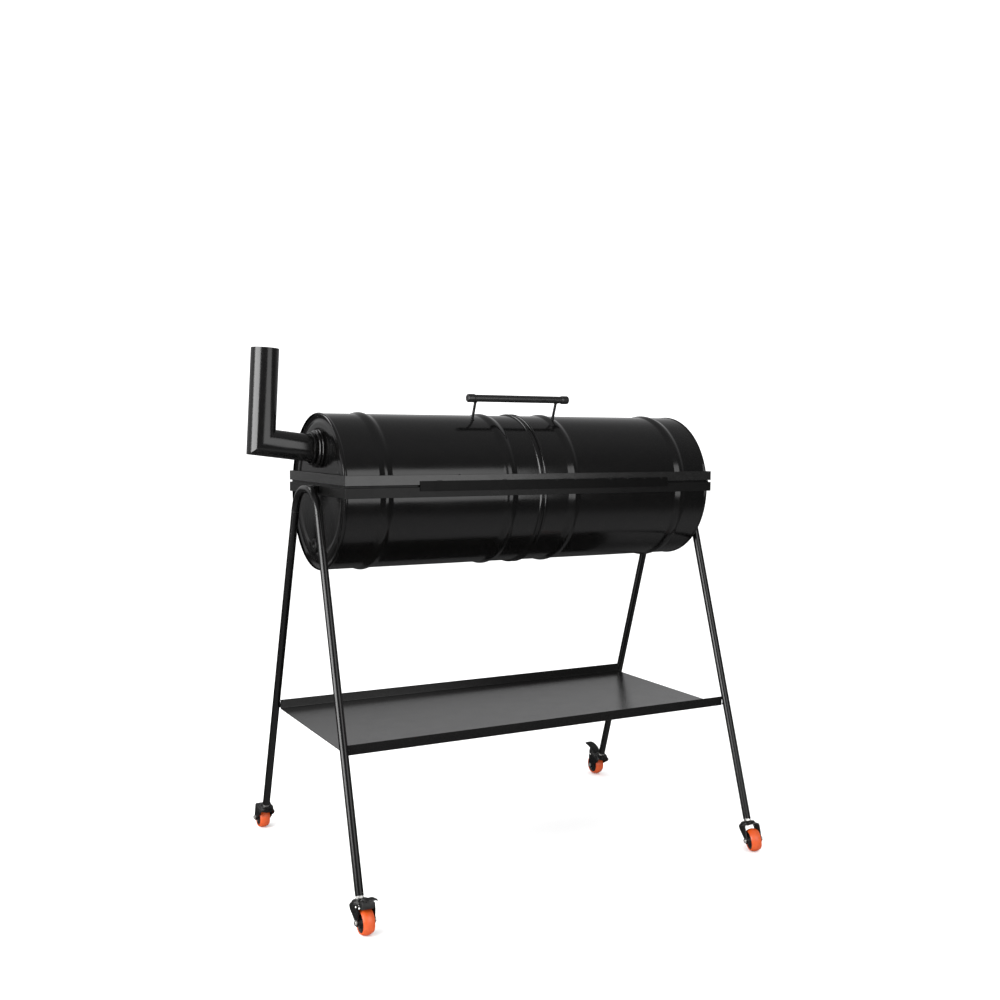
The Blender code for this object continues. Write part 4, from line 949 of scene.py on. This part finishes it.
def brake_pedal(name, place, body):
    """A curved wing plate with folded sides, over a shoe that presses on the tread."""
    def crown(t):
        """(Y, Z) of the plate's middle line, from the fork's cup at t=0 to the tip at t=1."""
        rise = 0.0085 * math.sin(math.pi * min(t * 1.15, 1.0) * 0.62)
        return -0.0225 - 0.0580 * t, -0.0105 + rise - 0.0045 * t**3

    rows, columns = 28, 16
    top, under = [], []
    for i in range(rows + 1):
        t = i / rows
        y, z = crown(t)
        half = 0.0150 * (0.80 + 0.20 * smooth_step(t / 0.35)) * (1 - 0.18 * smooth_step((t - 0.86) / 0.14))
        for j in range(columns + 1):
            s = 2 * j / columns - 1
            fall = 0.0042 * max(abs(s) - 0.55, 0) ** 1.6 / 0.45**1.6 * (1 - 0.5 * t)
            top.append((s * half, y, z - fall))
            under.append((s * half * 0.965, y, z - fall - 0.0020))
    width = columns + 1
    count = len(top)
    faces = []
    for i in range(rows):
        for j in range(columns):
            a, b = i * width + j, (i + 1) * width + j
            faces.append((a, b, b + 1, a + 1))
            faces.append((count + a, count + a + 1, count + b + 1, count + b))
    border = list(range(width)) + [i * width + columns for i in range(1, rows + 1)]
    border += [rows * width + j for j in range(columns - 1, -1, -1)]
    border += [i * width for i in range(rows - 1, 0, -1)]
    for k, a in enumerate(border):
        b = border[(k + 1) % len(border)]
        faces.append((a, b, b + count, a + count))
    plate = clean_mesh("pedal", top + under, faces)
    ribs = []
    for k in range(4):
        t = 0.60 + 0.10 * k
        y, z = crown(t)
        ribs.append(rod("rib", (-0.0098, y, z + 0.0001), (0.0098, y, z + 0.0001), 0.0009, 12, 0.0004))
    shoe = [(0.0032, -0.0026), (-0.0012, -0.0031), (-0.0140, -0.0084), (-0.0190, -0.0065),
            (-0.0210, 0.0010), (-0.0190, 0.0120), (-0.0060, 0.0110), (0.0032, 0.0080)]
    shoe = [(PIVOT_Y + y, PIVOT_Z + z) for y, z in shoe]
    shoe_mesh = extruded("shoe", shoe, -0.0138, 0.0138)
    mesh = merged("pedal", [plate] + ribs)
    mesh.transform(place)
    piece(f"brake_pedal_{name}_plate", mesh, "fork", body, f"brake_pedal_{name}")
    shoe_mesh.transform(place)
    piece(f"brake_shoe_{name}", shoe_mesh, "hub", body, bevel=0.0012, segments=3)
    spin = place @ Matrix.Translation((0, PIVOT_Y, PIVOT_Z)) @ Matrix.Rotation(math.pi / 2, 4, "Y")
    end = FORK_OUT + 0.0012
    half_pin = [(0.0017, end - 0.0008), (0.0030, end - 0.0008), (0.0030, end), (0.0018, end + 0.0010)]
    half_pin += [(0, end + 0.0010)]
    pin = [(r, -h) for r, h in reversed(half_pin)] + half_pin
    piece(f"brake_pin_{name}", turned("pin", pin, 28, spin), "zinc", body)


def make_castors():
    for name in ("front_left", "front_right", "back_left", "back_right"):
        swivel, wheel = JOINTS[f"castor_swivel_{name}"], JOINTS[f"wheel_spin_{name}"]
        up, across = Vector(swivel["axis"]).normalized(), Vector(wheel["axis"]).normalized()
        ahead = up.cross(across)
        turn = Matrix((across, ahead, up)).transposed().to_4x4()
        place = Matrix.Translation(swivel["pos_m"]) @ turn
        wheel_place = Matrix.Translation(wheel["pos_m"]) @ turn
        brake = f"brake_press_{name}" in JOINTS
        castor_stem(name, place)
        castor_fork(name, place, f"castor_{name}", brake)
        castor_wheel(name, wheel_place, f"wheel_{name}", f"castor_{name}")
        if brake:
            brake_pedal(name, place, f"brake_{name}")


# ---------------------------------------------------------------- studio

# Brightness by height, from straight down (0) to straight up (1), seen in the paint's reflections
FRONT_LEVELS = [(0.0, 0.22), (0.08, 0.42), (0.20, 0.36), (0.27, 0.10)]
FRONT_LEVELS += [(0.36, 0.06), (0.45, 0.09), (0.80, 0.17), (0.93, 0.28)]
BACK_LEVELS = [(0.0, 0.05), (0.20, 0.10), (0.38, 0.04), (0.455, 0.06)]
BACK_LEVELS += [(0.50, 0.38), (0.60, 0.66), (0.70, 0.44), (0.85, 0.27)]
WHITE = 1.45


def area_light(name, location, target, size, energy):
    light = bpy.data.lights.new(name, "AREA")
    light.shape = "RECTANGLE"
    light.size, light.size_y = size
    light.energy = energy
    obj = bpy.data.objects.new(name, light)
    bpy.context.scene.collection.objects.link(obj)
    obj.location = location
    obj.rotation_euler = (Vector(target) - Vector(location)).to_track_quat("-Z", "Y").to_euler()
    obj.visible_camera = False


def make_studio():
    bm = bmesh.new()
    bmesh.ops.create_grid(bm, x_segments=1, y_segments=1, size=30)
    mesh = bpy.data.meshes.new("floor")
    bm.to_mesh(mesh)
    bm.free()
    floor = bpy.data.objects.new("floor", mesh)
    bpy.context.scene.collection.objects.link(floor)
    floor.location = (0, 0, FLOOR - 0.0002)
    pale = Shader("pale_floor", (0.90, 0.90, 0.90), 0.9, Specular_IOR_Level=0.0)
    mesh.materials.append(pale.material)
    floor.visible_glossy = False

    make_world()
    area_light("front_panel", (0.50, -2.25, 1.36), (0.50, 0, 1.18), (1.60, 1.95), 26)
    area_light("left_panel", (-2.60, -0.60, 1.25), (-0.54, -0.30, 1.05), (1.90, 2.10), 130)
    area_light("back_panel", (-1.30, 1.70, 3.20), (0, 0, 1.10), (1.60, 1.00), 20)


def make_world():
    """White all round to the eye and to the floor, with a dim studio in the paint's reflections."""
    world = bpy.data.worlds.new("studio")
    bpy.context.scene.world = world
    world.use_nodes = True
    tree = world.node_tree
    background = tree.nodes["Background"]
    split = tree.nodes.new("ShaderNodeSeparateXYZ")
    tree.links.new(tree.nodes.new("ShaderNodeTexCoord").outputs["Generated"], split.inputs["Vector"])

    def half_way(value):
        node = tree.nodes.new("ShaderNodeMath")
        node.operation = "MULTIPLY_ADD"
        node.inputs[1].default_value = 0.5
        node.inputs[2].default_value = 0.5
        tree.links.new(value, node.inputs[0])
        return node.outputs["Value"]

    def ramp(value, stops):
        node = tree.nodes.new("ShaderNodeValToRGB")
        elements = node.color_ramp.elements
        while len(elements) < len(stops):
            elements.new(0.5)
        for element, (place, level) in zip(elements, stops):
            element.position, element.color = place, (level, level, level * 1.01, 1)
        tree.links.new(value, node.inputs["Fac"])
        return node.outputs["Color"]

    def mix(factor, first, second):
        node = tree.nodes.new("ShaderNodeMix")
        node.data_type = "RGBA"
        tree.links.new(factor, node.inputs["Factor"])
        for value, socket in ((first, node.inputs["A"]), (second, node.inputs["B"])):
            if isinstance(value, float):
                socket.default_value = (value, value, value, 1)
            else:
                tree.links.new(value, socket)
        return node.outputs["Result"]

    height = half_way(split.outputs["Z"])
    front = ramp(height, FRONT_LEVELS)
    back = ramp(height, BACK_LEVELS)
    turn = ramp(half_way(split.outputs["Y"]), [(0.35, 0.0), (0.65, 1.0)])
    studio = mix(turn, front, back)
    glossy = tree.nodes.new("ShaderNodeLightPath").outputs["Is Glossy Ray"]
    tree.links.new(mix(glossy, WHITE, studio), background.inputs["Color"])


def make_camera():
    camera = bpy.data.objects.new("camera", bpy.data.cameras.new("camera"))
    bpy.context.scene.collection.objects.link(camera)
    yaw, pitch, roll = 0.4938, -0.0586, 0.0063
    ahead = Vector((math.sin(yaw) * math.cos(pitch), math.cos(yaw) * math.cos(pitch), math.sin(pitch)))
    right = Vector((math.cos(yaw), -math.sin(yaw), 0))
    up = right.cross(ahead)
    right_rolled = right * math.cos(roll) + up * math.sin(roll)
    up_rolled = up * math.cos(roll) - right * math.sin(roll)
    turn = Matrix((right_rolled, up_rolled, -ahead)).transposed().to_4x4()
    camera.matrix_world = Matrix.Translation((MIDDLE - 1.474, -2.7102, SPLIT + 0.1286)) @ turn
    camera.data.sensor_width = 36
    camera.data.lens = 41.01
    camera.data.clip_end = 60
    bpy.context.scene.camera = camera
    bpy.context.scene.view_settings.view_transform = "Standard"


make_camera()
make_barrel()
make_vent_ring()
make_grates()
make_front_strip()
make_handle()
make_chimney()
make_hinges()
make_stand()
make_shelf()
make_castors()
make_studio()

bpy.context.view_layer.update()
